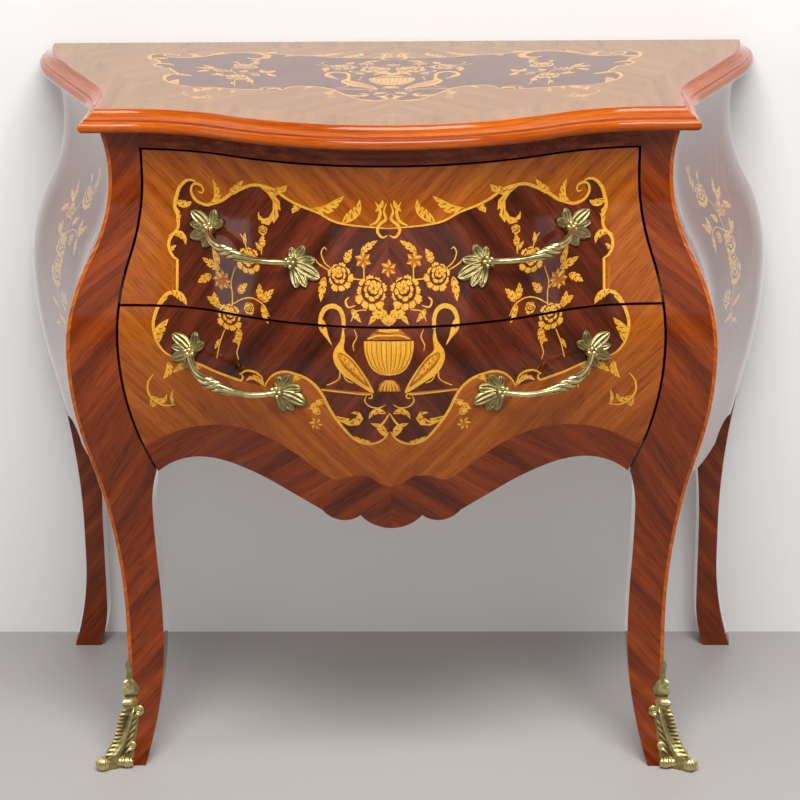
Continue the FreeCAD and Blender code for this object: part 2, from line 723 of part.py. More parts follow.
def bottom_board():
    """The bottom board, scribed to the side panels and the rear legs."""
    reach = sheet.arris_half + swell.value(sheet.floor_height) - sheet.panel_thickness / 2
    right = flare.edges(leg_back, back_frame, lambda y, v: flat(reach + v, y))
    left = flare.edges(back_frame, leg_back, lambda y, v: flat(-reach - v, y))
    body = plan_board("bottom_blank", None, close(right, left), "floor_height", "board_thickness")
    scribed = cut("bottom_board", body, right_side_panel, left_side_panel,
                  rear_right_leg, rear_left_leg)
    return piece(scribed, "bottom_board")


bottom_board()


def glue_blocks():
    """Four blocks in the corner between the top and the side panels."""
    places = (leg_back + sheet.block_length, rear_leg_front - sheet.block_length)
    blocks = []
    for sign in (-1, 1):
        for y in places:
            inside = sheet.arris_half + flare.value(y) - sheet.panel_thickness
            near, far = sorted((sign * (inside - sheet.block_size),
                                sign * (inside + sheet.panel_thickness / 2)))
            block = board("block", (f"{near}", f"{far}"),
                          (f"{y} - block_length / 2", f"{y} + block_length / 2"),
                          (f"{UNDERSIDE} - block_size", UNDERSIDE))
            blocks.append(block)
    scribed = cut("top_glue_blocks", group("blocks", *blocks), right_side_panel, left_side_panel)
    return piece(scribed, "top_glue_blocks")


glue_blocks()


def top_screws():
    """Countersunk screws up through the front and back rails into the top."""
    spots = [(x, leg_back - sheet.leg_depth / 2, top_rail_underside)
             for x in (-sheet.front_screw, 0, sheet.front_screw)]
    back_low = underside - sheet.back_top_rail_height
    spots += [(x, back - sheet.back_thickness / 2, back_low)
              for x in (-sheet.back_screw, sheet.back_screw)]
    screws = []
    for x, y, z in spots:
        shank = faceted("shank", "screw_radius", "screw_length")
        head = faceted("head", "screw_head", "screw_head - screw_radius")
        for item in (shank, head):
            item.Placement.Base = Vector(x, y, z)
        screw = document.addObject("Part::Fuse", "screw")
        screw.Base, screw.Tool = shank, head
        screws.append(screw)
    return piece(group("top_screws", *screws), "top_screws")


top_screws()


# ---------------------------------------------------------------- top
def plan_front(offset, first, last):
    """The front's plan line at the neck, moved outwards."""
    return bow.edges(first, last, lambda x, v: flat(x, neck - v), offset)


def plan_side(offset, first, last, sign):
    """A side's plan line at the neck, moved outwards."""
    return flare.edges(first, last, lambda y, v: flat(sign * (sheet.arris_half + v), y), offset)


def top_panel():
    """The flat of the top, inside its mouldings."""
    joint = sheet.top_joint
    corner_x, corner_y = sheet.arris_half + joint, neck - joint
    front = plan_front(joint, -corner_x, corner_x)
    right = plan_side(joint, corner_y, back, 1)
    left = plan_side(joint, back, corner_y, -1)
    return plan_board("top_panel", "top_panel", close(front, right, left), UNDERSIDE,
                      "top_thickness")


def moulding_section(place):
    """Section of the top's moulding: a round nose, a quirk, and a hollow up to the flat top."""
    nose = sheet.nose_height / 2
    low = underside
    face = sheet.top_overhang - nose
    shelf = sheet.top_overhang - sheet.quirk_depth
    nose_top = low + sheet.nose_height
    shelf_z = nose_top + sheet.quirk_rise
    lip = place(sheet.top_arris, sheet.height - sheet.top_lip)
    round_nose = Part.Arc(place(face, low), place(sheet.top_overhang, low + nose),
                          place(face, nose_top))
    step = [Part.LineSegment(place(shelf, nose_top), place(shelf, shelf_z))]
    inwards = -1 if place(1, 0).x > 0 else 1
    hollow = bulged(place(shelf, shelf_z), lip, inwards * sheet.top_hollow)
    inner = [Part.LineSegment(place(sheet.top_arris, sheet.height),
                              place(sheet.top_joint, sheet.height)),
             Part.LineSegment(place(sheet.top_joint, sheet.height),
                              place(sheet.top_joint, low))]
    return close(flattened(round_nose, 6), step, flattened(hollow, 2), inner)


def mitred(body, name, sweep_path, section_plane, section, lift, outline):
    """A moulding swept along a plan line and cut to its mitres."""
    path = sketch(body, "XY_Plane", sweep_path)
    sweep(body, sketch(body, section_plane, section, lift=lift), path, mode="Standard")
    cut_to_outline(body, "XY_Plane", polyline(*outline, closed=True), sheet.height * 2)
    return piece(body, name)


# The mouldings are swept past the corners by this much before they are mitred.
MITRE_RUN = "(top_overhang * 2)"
mitre_run = sheet.top_overhang * 2
mitre_inner = (sheet.arris_half, neck)
mitre_outer = (sheet.arris_half + mitre_run, neck - mitre_run)


def front_moulding():
    reach = sheet.arris_half + mitre_run
    deepest = neck - sheet.front_bow - 2 * mitre_run
    outline = [mitre_inner, mitre_outer, (mitre_outer[0], deepest), (-mitre_outer[0], deepest),
               (-mitre_outer[0], mitre_outer[1]), (-mitre_inner[0], mitre_inner[1])]
    return mitred(new_body("front_moulding"), "top_front_moulding",
                  plan_front(0, -reach, reach), "YZ_Plane",
                  moulding_section(lambda out, z: flat(neck - out, z)),
                  f"-(arris_half + {MITRE_RUN})", outline)


def side_moulding():
    widest = sheet.arris_half + sheet.side_flare + 2 * mitre_run
    outline = [mitre_inner, mitre_outer, (widest, mitre_outer[1]), (widest, back),
               (0, back), (0, neck)]
    return mitred(new_body("side_moulding"), "top_right_moulding",
                  plan_side(0, neck - mitre_run, back, 1), "XZ_Plane",
                  moulding_section(lambda out, z: flat(sheet.arris_half + out, z)),
                  f"-({NECK} - {MITRE_RUN})", outline)


top_panel()
front_moulding()
mirror(side_moulding(), "top_left_moulding")


# ---------------------------------------------------------------- drawers
def drawer_front(name, low, high, lower_edge):
    """A drawer front: the swell profile carried along the bow, then sawn to its outline."""
    body = new_body(f"{name}_front_blank")
    section = strip(swell, low, high, lambda z, v: flat(neck - v, z),
                    lambda z, v: flat(neck - v + sheet.front_thickness, z))
    path = bow.edges(-sheet.arris_half, sheet.arris_half, lambda x, v: flat(x, neck - v))
    sweep(body, sketch(body, "YZ_Plane", section, lift="-arris_half"),
          sketch(body, "XY_Plane", path))
    start = lower_edge[-1].EndPoint.y
    right = leg_inner.edges(start, high, lambda z, v: flat(v - sheet.drawer_gap, z))
    left = leg_inner.edges(high, start, lambda z, v: flat(sheet.drawer_gap - v, z))
    cut_to_outline(body, "XZ_Plane", close(lower_edge, right, left), sheet.height * 2)
    return body


def side_board(name, low, high, front):
    """The right side of a drawer, with dovetails at the rear and scribed to the front."""
    body = new_body(f"{name}_side_blank")
    middle = sheet.drawer_half - sheet.drawer_side / 2
    inside_front = neck - bow.value(middle) + sheet.front_thickness / 2
    front_edge = swell.edges(low, high, lambda z, v: flat(inside_front - v, z))
    root = drawer_back - sheet.drawer_side
    count = int(sheet.tail_count)
    pitch = (high - low) / count
    rear = [(root, high)]
    for number in range(count):
        middle_z = high - pitch * (number + 0.5)
        wide = (pitch - sheet.tail_gap) / 2
        narrow = wide - sheet.tail_slope
        rear += [(root, middle_z + narrow), (drawer_back, middle_z + wide),
                 (drawer_back, middle_z - wide), (root, middle_z - narrow)]
    rear.append((root, low))
    outline = close(front_edge, polyline(*rear))
    pad(body, sketch(body, "YZ_Plane", outline, lift="drawer_half - drawer_side"), "drawer_side")
    return piece(cut(f"{name}_right_side", body, front), f"{name}_right_side")


def drawer_box(name, low, high, front, low_cell, high_cell):
    """Sides, back and bottom of a drawer."""
    right = side_board(name, low, high, front)
    left = mirror(right, f"{name}_left_side")
    back_blank = board(f"{name}_back_blank", ("-drawer_half", "drawer_half"),
                       (f"{DRAWER_BACK} - drawer_side", DRAWER_BACK), (low_cell, high_cell))
    piece(cut(f"{name}_back", back_blank, right, left), f"{name}_back")
    half = sheet.drawer_half - sheet.drawer_side
    bottom = low + sheet.bottom_lift
    front_line = neck - swell.value(bottom + sheet.drawer_bottom / 2) + sheet.front_thickness / 2
    blank_bottom = plan_board(f"{name}_bottom_blank", None,
                              bowed_plan(half, front_line, drawer_back - sheet.drawer_side),
                              f"{low_cell} + bottom_lift", "drawer_bottom")
    piece(cut(f"{name}_bottom", blank_bottom, front), f"{name}_bottom")


def surface_frame(x, z):
    """Placement on the front at (x, z): X along the surface, Y up it, Z out of it."""
    normal = Vector(-bow.slope(x), -1, -swell.slope(z)).normalize()
    across = Vector(1, -bow.slope(x), 0).normalize()
    return Placement(Vector(x, front_surface(x, z), z), Rotation(across, normal.cross(across),
                                                                 normal, "ZXY"))


def rosette(turn):
    """A fan of pointed leaves round a knuckle, open towards the bar."""
    body = new_body("rosette")
    half = sheet.leaf_width / 2
    middle = (sheet.leaf_root + sheet.leaf_length) / 2
    leaf = polyline((sheet.leaf_root, 0), (middle, -half), (sheet.leaf_length, 0),
                    (middle, half), closed=True)
    first = pad(body, sketch(body, "XY_Plane", leaf, lift="-scribe_depth"),
                "leaf_proud + scribe_depth")
    document.recompute()
    pattern = body.newObject("PartDesign::PolarPattern", "fan")
    pattern.Originals = [first]
    pattern.Axis = (plane(body, "Z_Axis"), [""])
    pattern.Mode = "Extent"
    pattern.Angle = sheet.leaf_spread
    pattern.Occurrences = int(sheet.leaf_count)
    body.Tip = pattern
    document.recompute()
    body.Placement.Rotation = Rotation(Vector(0, 0, 1), turn - sheet.leaf_spread / 2)
    return body


def handle_bar():
    """The drop-shaped bar, thickest at its lowest point, in the plane of its knuckles."""
    body = new_body("handle_bar")
    half = sheet.handle_span / 2
    lowest = half - sheet.handle_low
    drop = Curve(level_arc(lowest, -sheet.handle_sag, -half, 0),
                 level_arc(lowest, -sheet.handle_sag, half, 0))
    path = sketch(body, "XY_Plane", drop.edges(-half, half, flat), lift="handle_reach")
    document.recompute()
    sections = []
    for edge, parameter, radius in (("Edge1", 0, sheet.bar_end_radius),
                                    ("Edge1", 1, sheet.bar_middle_radius),
                                    ("Edge2", 1, sheet.bar_end_radius)):
        section = body.newObject("Sketcher::SketchObject", "bar_section")
        section.AttachmentSupport = [(path, edge)]
        section.MapMode = "NormalToEdge"
        section.MapPathParameter = parameter
        section.addGeometry(polygon(radius, 6), False)
        sections.append(section)
    item = sweep(body, sections[0], path, mode="Standard")
    item.Transformation = "Multisection"
    item.Sections = sections[1:]
    return body


def handle(name, inner, outer, front):
    """A cast pull with its bar, two knuckles on posts and two leaf rosettes, and its bolts."""
    feet = [surface_frame(*inner), surface_frame(*outer)]
    along = (feet[1].Base - feet[0].Base).normalize()
    outwards = (feet[0].Rotation.multVec(Vector(0, 0, 1))
                + feet[1].Rotation.multVec(Vector(0, 0, 1)))
    outwards = (outwards - along * outwards.dot(along)).normalize()
    centre = (feet[0].Base + feet[1].Base) * 0.5
    frame = Placement(centre, Rotation(along, outwards.cross(along), outwards, "ZXY"))
    bar = handle_bar()
    bar.Placement = frame
    members = [bar]
    holes, bolts = [], []
    for side, foot, turn in ((-1, feet[0], 180), (1, feet[1], 0)):
        end = frame.multVec(Vector(side * sheet.handle_span / 2, 0, sheet.handle_reach))
        middle = frame.multVec(Vector(side * sheet.handle_span / 2, 0, 0))
        knuckle = faceted("knuckle", "knuckle_radius", "knuckle_height", sides=8)
        knuckle.Placement = Placement(end - outwards * sheet.knuckle_height / 2, frame.Rotation)
        post = faceted("post", "post_radius", "handle_reach + scribe_depth")
        post.Placement = Placement(middle - outwards * sheet.scribe_depth, frame.Rotation)
        leaves = rosette(turn)
        tilt = math.degrees(math.atan2(along.dot(feet[0].Rotation.multVec(Vector(0, 1, 0))),
                                       along.dot(feet[0].Rotation.multVec(Vector(1, 0, 0)))))
        spin = Placement(Vector(), Rotation(Vector(0, 0, 1), tilt))
        leaves.Placement = Placement(middle, foot.Rotation) * spin * leaves.Placement
        members += [knuckle, post, leaves]
        hole = blank("Part::Cylinder", "hole", Radius="bolt_radius + bolt_clearance",
                     Height="front_thickness * 3")
        hole.Placement = Placement(middle - outwards * sheet.front_thickness * 2,
                                   frame.Rotation)
        holes.append(hole)
        seat = sheet.front_thickness * abs(outwards.y) + sheet.nut_thickness
        nut = faceted("nut", "nut_radius", "nut_thickness + nut_radius")
        nut.Placement = Placement(middle - outwards * seat, frame.Rotation)
        shank = faceted("shank", "bolt_radius", "front_thickness + nut_thickness + bolt_end")
        shank.Placement = Placement(middle - outwards * (seat + sheet.bolt_end),
                                    frame.Rotation)
        bolt = document.addObject("Part::Fuse", "bolt")
        bolt.Base, bolt.Tool = cut("seated_nut", nut, front), shank
        bolts.append(bolt)
    whole = document.addObject("Part::MultiFuse", f"{name}_casting")
    whole.Shapes = members
    pull = piece(cut(name, whole, front), name)
    return pull, holes, [cut("seated_bolt", bolt, pull) for bolt in bolts]


def finish_drawer(name, front, inner, outer):
    """Fits both handles and drills the front for them."""
    pull, holes, bolts = handle(f"{name}_right_handle", inner, outer, front)
    mirror(pull, f"{name}_left_handle")
    holes += [twin(hole) for hole in holes]
    bolts += [twin(bolt) for bolt in bolts]
    piece(cut(f"{name}_front", front, *holes), f"{name}_front")
    piece(group(f"{name}_bolts", *bolts), f"{name}_handle_bolts")


def upper_drawer():
    low = sheet.seam_height + sheet.drawer_gap / 2
    high = top_rail_underside - sheet.drawer_gap
    edge = leg_inner.value(low) - sheet.drawer_gap
    front = drawer_front("upper_drawer", low, high, polyline((-edge, low), (edge, low)))
    kicker = underside - sheet.kicker_height - sheet.kicker_gap
    drawer_box("upper_drawer", rail_top + sheet.running_gap, kicker, front,
               f"{RAIL_TOP} + running_gap", f"{UNDERSIDE} - kicker_height - kicker_gap")
    middle = (low + high) / 2
    finish_drawer("upper_drawer", front,
                  (sheet.upper_handle_inner, middle + sheet.upper_handle_inner_height),
                  (sheet.upper_handle_outer, middle + sheet.upper_handle_outer_height))


def scalloped_apron():
    """The lower edge of the lower drawer front, from left to right."""
    corner = (sheet.arris_half - sheet.leg_depth - sheet.drawer_gap, sheet.apron_corner_height)
    arch = (sheet.arch_middle, sheet.arch_height)
    rise = (sheet.arch_start, sheet.arch_start_height)
    lobe_end = (sheet.lobe_end, sheet.lobe_end_height)
    lobe = (sheet.lobe_middle, sheet.lobe_height)
    notch = (sheet.pendant_half, sheet.notch_height)
    arches = Curve(level_arc(*arch, *corner), level_arc(*arch, *rise))
    right = [Part.Arc(flat(*notch), flat(*lobe), flat(*lobe_end))]
    right += polyline(lobe_end, rise)
    right += arches.edges(rise[0], corner[0], flat)
    left = arches.edges(corner[0], rise[0], lambda x, z: flat(-x, z))
    left += polyline((-rise[0], rise[1]), (-lobe_end[0], lobe_end[1]))
    left += [Part.Arc(flat(-lobe_end[0], lobe_end[1]), flat(-lobe[0], lobe[1]),
                      flat(-notch[0], notch[1]))]
    pendant = Part.Arc(flat(-notch[0], notch[1]), flat(0, sheet.pendant_height), flat(*notch))
    return left + [pendant] + right


def lower_drawer():
    high = sheet.seam_height - sheet.drawer_gap / 2
    lowest = sheet.pendant_height - sheet.drawer_gap
    apron = scalloped_apron()
    front = drawer_front("lower_drawer", lowest, high, apron)
    drawer_box("lower_drawer", floor_top + sheet.running_gap, rail_underside - sheet.kicker_gap,
               front, f"{FLOOR_TOP} + running_gap", f"{RAIL_UNDERSIDE} - kicker_gap")
    finish_drawer("lower_drawer", front,
                  (sheet.lower_handle_inner, sheet.lower_handle_inner_height),
                  (sheet.lower_handle_outer, sheet.lower_handle_outer_height))


upper_drawer()
lower_drawer()


# ---------------------------------------------------------------- foot mounts
def sabot_view(corner, outwards, place):
    """One face of a foot mount: a leaf that rises along the corner, over a rolled toe.

    corner is the neck line of that face, and outwards the direction away from the chest.
    """
    def spot(inset, z):
        return place(corner + outwards * (swell.value(z) - inset), z)

    def outside(z, v):
        return place(corner + outwards * (v + sheet.sabot_thickness), z)

    tip, roll = sheet.sabot_height, sheet.sabot_roll_height
    waist, stem_foot = sheet.sabot_waist_height, sheet.sabot_stem_height
    round_toe = roll / 4
    toe = swell.value(0) + sheet.sabot_thickness + sheet.sabot_roll - round_toe
    instep = swell.value(roll) + sheet.sabot_thickness
    outer = [Part.Arc(place(corner + outwards * toe, 0),
                      place(corner + outwards * (toe + round_toe), round_toe),
                      place(corner + outwards * toe, 2 * round_toe)),
             Part.Arc(place(corner + outwards * toe, 2 * round_toe),
                      place(corner + outwards * (instep + sheet.sabot_instep),
                            (roll + 2 * round_toe) / 2 - sheet.sabot_instep),
                      place(corner + outwards * instep, roll))]
    outer += swell.edges(roll, tip, outside)
    stem = [Part.LineSegment(spot(sheet.sabot_tip_width, tip),
                             spot(sheet.sabot_stem_width, stem_foot))]
    curl = [Part.Arc(spot(sheet.sabot_stem_width, stem_foot),
                     spot(sheet.sabot_curl_width, (waist + stem_foot) / 2),
                     spot(sheet.sabot_waist_width, waist))]
    leaf = [Part.Arc(spot(sheet.sabot_waist_width, waist),
                     spot(sheet.sabot_leaf_width, roll / 2),
                     spot(sheet.sabot_width, 0))]
    return close(outer, stem, curl, leaf)


def sabot():
    """A gilt foot mount that wraps the outer corner of a front foot."""
    body = new_body("sabot")
    reach = "sabot_width + foot_flare + sabot_roll + sabot_thickness"
    front_view = sabot_view(sheet.arris_half, 1, flat)
    pad(body, sketch(body, "XZ_Plane", front_view, lift=f"-({NECK} + sabot_width)"),
        f"{reach} + sabot_width")
    cut_to_outline(body, "YZ_Plane", sabot_view(neck, -1, flat), sheet.height * 2)
    return piece(cut("sabot", body, front_right_leg), "right_sabot")


mirror(sabot(), "left_sabot")


def sabot_pins():
    """Two round-headed pins through each foot mount, one from the front and one from the side."""
    z = sheet.sabot_height / 2
    out = swell.value(z) + sheet.sabot_thickness + sheet.pin_radius / 2
    inset = sheet.pin_inset
    spots = [(Vector(sheet.arris_half - inset, neck - out, z), Vector(0, 1, 0)),
             (Vector(sheet.arris_half + out, neck + inset, z), Vector(-1, 0, 0))]
    pins = []
    for spot, inwards in spots:
        turn = Rotation(Vector(0, 0, 1), inwards)
        shank = faceted("pin", "pin_radius", "pin_length")
        head = faceted("pin_head", "pin_head", "pin_radius")
        for item in (shank, head):
            item.Placement = Placement(spot, turn)
        pin = document.addObject("Part::Fuse", "headed_pin")
        pin.Base, pin.Tool = shank, head
        pins.append(pin)
    return piece(group("sabot_pins", *pins, *[twin(pin) for pin in pins]), "sabot_pins")


sabot_pins()


# ---------------------------------------------------------------- export
document.recompute()
for item in document.Objects:
    if any(word in item.State for word in ("Invalid", "Error")):
        raise RuntimeError(f"{item.Name} ({item.Label}) failed: {item.State}")
for item in pieces:
    if item.Shape.isNull() or not item.Shape.isValid():
        raise RuntimeError(f"{item.Label} has no valid shape")

os.makedirs("parts", exist_ok=True)
for item in pieces:
    item.Shape.exportStep(f"parts/{item.Label}.step")
    box = item.Shape.BoundBox
    print(f"{item.Label}: {len(item.Shape.Solids)} solids, {item.Shape.Volume / 1000:.1f} cm3, "
          f"{box.XLength:.1f} x {box.YLength:.1f} x {box.ZLength:.1f}")
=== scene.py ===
# %% [markdown]
# # A bombe chest of two drawers
# A bombe chest swells in front and at the sides like a kettle drum. One swell line, drawn from the
# floor to the top, is carried along the serpentine plan of the case, so the legs, the drawer fronts
# and the side panels lie in one continuous surface. Here that surface is a handful of functions of
# height and width, and every visible piece is a grid or a veneer sheet laid over it.
#
# Lengths are in millimetres until `put_mesh` turns them into Blender's metres: x to the right from
# the middle of the chest, y towards its back, and z up from the floor.

# %% The frame
import math
import bpy
import numpy as np
from mathutils import Euler, Matrix, Vector
from mathutils.geometry import delaunay_2d_cdt


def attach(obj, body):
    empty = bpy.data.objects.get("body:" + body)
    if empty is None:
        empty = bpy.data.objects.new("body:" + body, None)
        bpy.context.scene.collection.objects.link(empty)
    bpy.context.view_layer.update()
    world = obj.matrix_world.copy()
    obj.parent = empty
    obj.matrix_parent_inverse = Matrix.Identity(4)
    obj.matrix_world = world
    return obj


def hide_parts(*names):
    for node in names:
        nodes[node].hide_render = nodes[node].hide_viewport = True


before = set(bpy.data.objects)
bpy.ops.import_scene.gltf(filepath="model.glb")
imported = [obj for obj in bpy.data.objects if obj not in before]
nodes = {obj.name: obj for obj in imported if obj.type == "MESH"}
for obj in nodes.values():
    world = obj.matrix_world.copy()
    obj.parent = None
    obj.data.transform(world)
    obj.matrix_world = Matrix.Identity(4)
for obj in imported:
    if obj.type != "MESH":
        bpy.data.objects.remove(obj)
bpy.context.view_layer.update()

# %% [markdown]
# ## The lines of the chest
# A cabinet maker sets such a chest out with compasses, so each line is made of circular arcs that
# run smoothly into each other. `level_arcs` is the basic move: from a level start to a level end
# through two arcs. Every function takes a whole array of heights or widths at once.

# %% Curves of circular arcs
HEIGHT = 785
UNDERSIDE = 761
BACK = 235
NECK = -108
ARRIS = 312
LEG_BACK = -61.5
REAR_LEG_FRONT = 190
SIDE_FLARE = 95
FLARE_TURN = math.radians(24.2)
FLARE_SHARE = 0.43
FOOT = 125
FOOT_FLARE = 20
ANKLE = 165
KNEE = 322
APRON_CORNER = 374
BELLY = 518
BELLY_SWELL = 45
BELLY_SHARE = 0.34
OPENING_BELLY = 535
NECK_HEIGHT = 710
NECK_SINK = 4.5
NECK_SHARE = 0.47
BOW = 82
BOW_HALF = 285
BOW_SHARE = 0.6
FIELD_FOOT = 444
SEAM = 574
OPENING_TOP = 741
DRAWER_GAP = 3
FRONT_THICKNESS = 26


def leaving(t, radius):
    """How far an arc of that radius has left its tangent line after a distance t along it."""
    return radius - np.sqrt(np.maximum(radius ** 2 - t ** 2, 0))


def level_arc(t, start, end):
    """One arc that is level at start and passes through end."""
    (t0, v0), (t1, v1) = start, end
    rise = v1 - v0
    radius = ((t1 - t0) ** 2 + rise ** 2) / (2 * abs(rise))
    return v0 + math.copysign(1, rise) * leaving(t - t0, radius)


def level_arcs(t, start, end, share=0.5):
    """Two tangent arcs, level at both ends, the first with this share of the two radii."""
    (t0, v0), (t1, v1) = start, end
    turn = 2 * math.atan2(abs(v1 - v0), abs(t1 - t0))
    radii = abs(t1 - t0) / math.sin(turn)
    first, second = radii * share, radii * (1 - share)
    up = math.copysign(1, v1 - v0)
    near = np.abs(t - t0) < first * math.sin(turn)
    return np.where(near, v0 + up * leaving(t - t0, first), v1 - up * leaving(t - t1, second))


def swell(z):
    """How far the case stands out from its neck line at each height."""
    z = np.asarray(z, float)
    foot = level_arc(z, (FOOT, 0), (0, FOOT_FLARE))
    lower = level_arcs(z, (BELLY, BELLY_SWELL), (ANKLE, 0), BELLY_SHARE)
    upper = level_arcs(z, (NECK_HEIGHT, -NECK_SINK), (BELLY, BELLY_SWELL), NECK_SHARE)
    return np.select([z < FOOT, z < ANKLE, z < BELLY], [foot, 0 * z, lower], upper)


def bow(x):
    """How far the front swells forward in plan at each distance from the middle."""
    x = np.abs(np.asarray(x, float))
    return np.where(x < BOW_HALF, level_arcs(x, (0, BOW), (BOW_HALF, 0), BOW_SHARE), 0)


def flare(y):
    """How much further out each side is at each depth: straight, arc, straight, arc."""
    y = np.asarray(y, float)
    run = BACK - LEG_BACK
    sine, cosine = math.sin(FLARE_TURN), math.cos(FLARE_TURN)
    length = (SIDE_FLARE * sine - run * (1 - cosine)) / (sine ** 2 - cosine * (1 - cosine))
    first = (run - length * cosine) / sine * FLARE_SHARE
    second = (run - length * cosine) / sine * (1 - FLARE_SHARE)
    start = LEG_BACK + first * sine
    end = start + length * cosine
    middle = first * (1 - cosine) + (y - start) * math.tan(FLARE_TURN)
    return np.select([y < LEG_BACK, y < start, y < end],
                     [0 * y, leaving(y - LEG_BACK, first), middle],
                     SIDE_FLARE - leaving(y - BACK, second))


def leg_inner(z):
    """Half the width between the front legs at each height: one arc after another, toe to neck."""
    z = np.asarray(z, float)
    toe, ankle, knee = (0, 295), (ANKLE, 269), (KNEE, 273.3)
    corner, belly, neck = (APRON_CORNER, 265.5), (OPENING_BELLY, 301), (NECK_HEIGHT, 271.7)
    return np.select(
        [z < ANKLE, z < KNEE, z < APRON_CORNER, z < OPENING_BELLY, z < NECK_HEIGHT],
        [level_arc(z, ankle, toe), level_arcs(z, ankle, knee), level_arc(z, knee, corner),
         level_arc(z, belly, corner), level_arcs(z, belly, neck)], neck[1])


def front(x, z):
    """The drawer fronts' surface: the neck line, less the swell at z and the bow at x."""
    return np.stack([x, NECK - swell(z) - bow(x), z], -1)


def right_side(y, z):
    """The right side panel's surface: the corner line, plus the swell at z and the flare at y."""
    return np.stack([ARRIS + swell(z) + flare(y), y, z], -1)


def level_top(x, y):
    """The flat of the top."""
    return np.stack([x, y, np.full_like(x, HEIGHT)], -1)


def normals_of(surface, a, b, step=0.05):
    """Unit normals of a surface of two parameters, across the directions of its two slopes."""
    along = surface(a + step, b) - surface(a - step, b)
    up = surface(a, b + step) - surface(a, b - step)
    normal = np.cross(along, up)
    return normal / np.linalg.norm(normal, axis=-1, keepdims=True)


def raised(surface, a, b, height):
    """Points that stand off a surface by a height, at right angles to it."""
    return surface(a, b) + normals_of(surface, a, b) * np.asarray(height)[..., None]


print("swell at the belly", float(swell(BELLY)), "mm, bow at the middle", float(bow(0)), "mm")

# %% [markdown]
# ## Meshes from grids
# A moulding, a leg and a leaf are all the same kind of mesh: a section with so many points, carried
# along so many stations. `grid` joins the rows of such an array with four-sided faces, and `tube`
# closes it round and caps its ends.

# %% Mesh helpers
MM = 0.001


def corners(values):
    """The values at the four corners of each cell of a grid, in order round the cell."""
    around = [values[:-1, :-1], values[:-1, 1:], values[1:, 1:], values[1:, :-1]]
    return np.stack(around, axis=2).reshape(-1, 4, *values.shape[2:])


def grid(points, uv, kind=0):
    """An open grid. It faces the side from which its columns rise to the right of its rows."""
    rows, columns = points.shape[:2]
    index = np.arange(rows * columns).reshape(rows, columns)
    return dict(points=points.reshape(-1, 3), faces=corners(index).tolist(),
                uv=corners(uv).reshape(-1, 2), kinds=np.full((rows - 1) * (columns - 1), kind))


def tube(points, uv, kinds=0, caps=True):
    """A grid whose last column runs on into its first, with a cap at either end.

    uv has one column more than points, because the seam has two values.
    """
    rows, columns = points.shape[:2]
    index = np.arange(rows * columns).reshape(rows, columns)
    index = np.column_stack([index, index[:, :1]])
    faces = corners(index).tolist()
    kinds = np.broadcast_to(kinds, (rows - 1, columns)).reshape(-1)
    wrapped = corners(uv).reshape(-1, 2)
    if caps:
        faces += [index[0, -2::-1].tolist(), index[-1, :-1].tolist()]
        kinds = np.append(kinds, [kinds[0], kinds[-1]])
        wrapped = np.concatenate([wrapped, uv[0, -2::-1], uv[-1, :-1]])
    return dict(points=points.reshape(-1, 3), faces=faces, uv=wrapped, kinds=kinds)


def joined(parts):
    """Several parts as one."""
    starts = np.cumsum([0] + [len(part["points"]) for part in parts])
    faces = [[index + int(start) for index in face]
             for part, start in zip(parts, starts) for face in part["faces"]]
    return dict(points=np.concatenate([part["points"] for part in parts]), faces=faces,
                uv=np.concatenate([part["uv"] for part in parts]),
                kinds=np.concatenate([part["kinds"] for part in parts]))


def flipped(part):
    """The same part as seen in a mirror that stands on the chest's middle plane."""
    sizes = [len(face) for face in part["faces"]]
    ends = np.cumsum(sizes)
    order = np.concatenate([np.arange(end - 1, end - size - 1, -1)
                            for end, size in zip(ends, sizes)])
    result = dict(part, points=part["points"] * (-1, 1, 1), uv=part["uv"][order],
                  faces=[face[::-1] for face in part["faces"]])
    if "normals" in part:
        result["normals"] = (part["normals"] * (-1, 1, 1))[order]
    return result


def put_mesh(name, part, materials, body, replaced=(), sharp=35):
    """Makes a part a piece of the scene, riding on a body."""
    mesh = bpy.data.meshes.new(name)
    mesh.from_pydata((part["points"] * MM).tolist(), [], part["faces"])
    layer = mesh.uv_layers.new(name="grain")
    layer.uv.foreach_set("vector", (part["uv"] * MM).astype(np.float32).ravel())
    for material in materials:
        mesh.materials.append(material)
    mesh.polygons.foreach_set("material_index", part["kinds"].astype(np.int32))
    mesh.shade_smooth()
    if "normals" in part:
        mesh.normals_split_custom_set(part["normals"].tolist())
    else:
        mesh.set_sharp_from_angle(angle=math.radians(sharp))
    piece = bpy.data.objects.new(name, mesh)
    bpy.context.scene.collection.objects.link(piece)
    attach(piece, body)
    if replaced:
        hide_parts(*replaced)
    return piece


def put_pair(name, part, materials, body, replaced, sharp=35):
    """Makes a right-hand part a piece of the scene, and its mirror image the left-hand one.

    The side's name goes where the names have a star.
    """
    for side, made in (("right", part), ("left", flipped(part))):
        put_mesh(name.replace("*", side), made, materials, body,
                 [replaced.replace("*", side)], sharp)


def turned_uv(a, b, grain):
    """Texture coordinates with u along the grain, which rises at that many degrees."""
    angle = np.radians(grain)
    return np.stack([a * np.cos(angle) + b * np.sin(angle),
                     b * np.cos(angle) - a * np.sin(angle)], -1)


print("mesh helpers ready")

# %% [markdown]
# ## Woods, lacquer and metal
# Each wood is noise stretched along the grain: long soft bands for the figure, and short fine
# streaks for the pores. The texture coordinate of every veneer is already turned to its grain, so
# one material serves a whole species, whichever way a leaf of veneer is laid. The French polish
# over it is a clear coat. The coat's index of refraction says how strongly it mirrors the room.

# %% Material helpers
POLISH = 0.1
FRONT_GLOSS = 1.36
SIDE_GLOSS = 1.9
TOP_GLOSS = 1.28


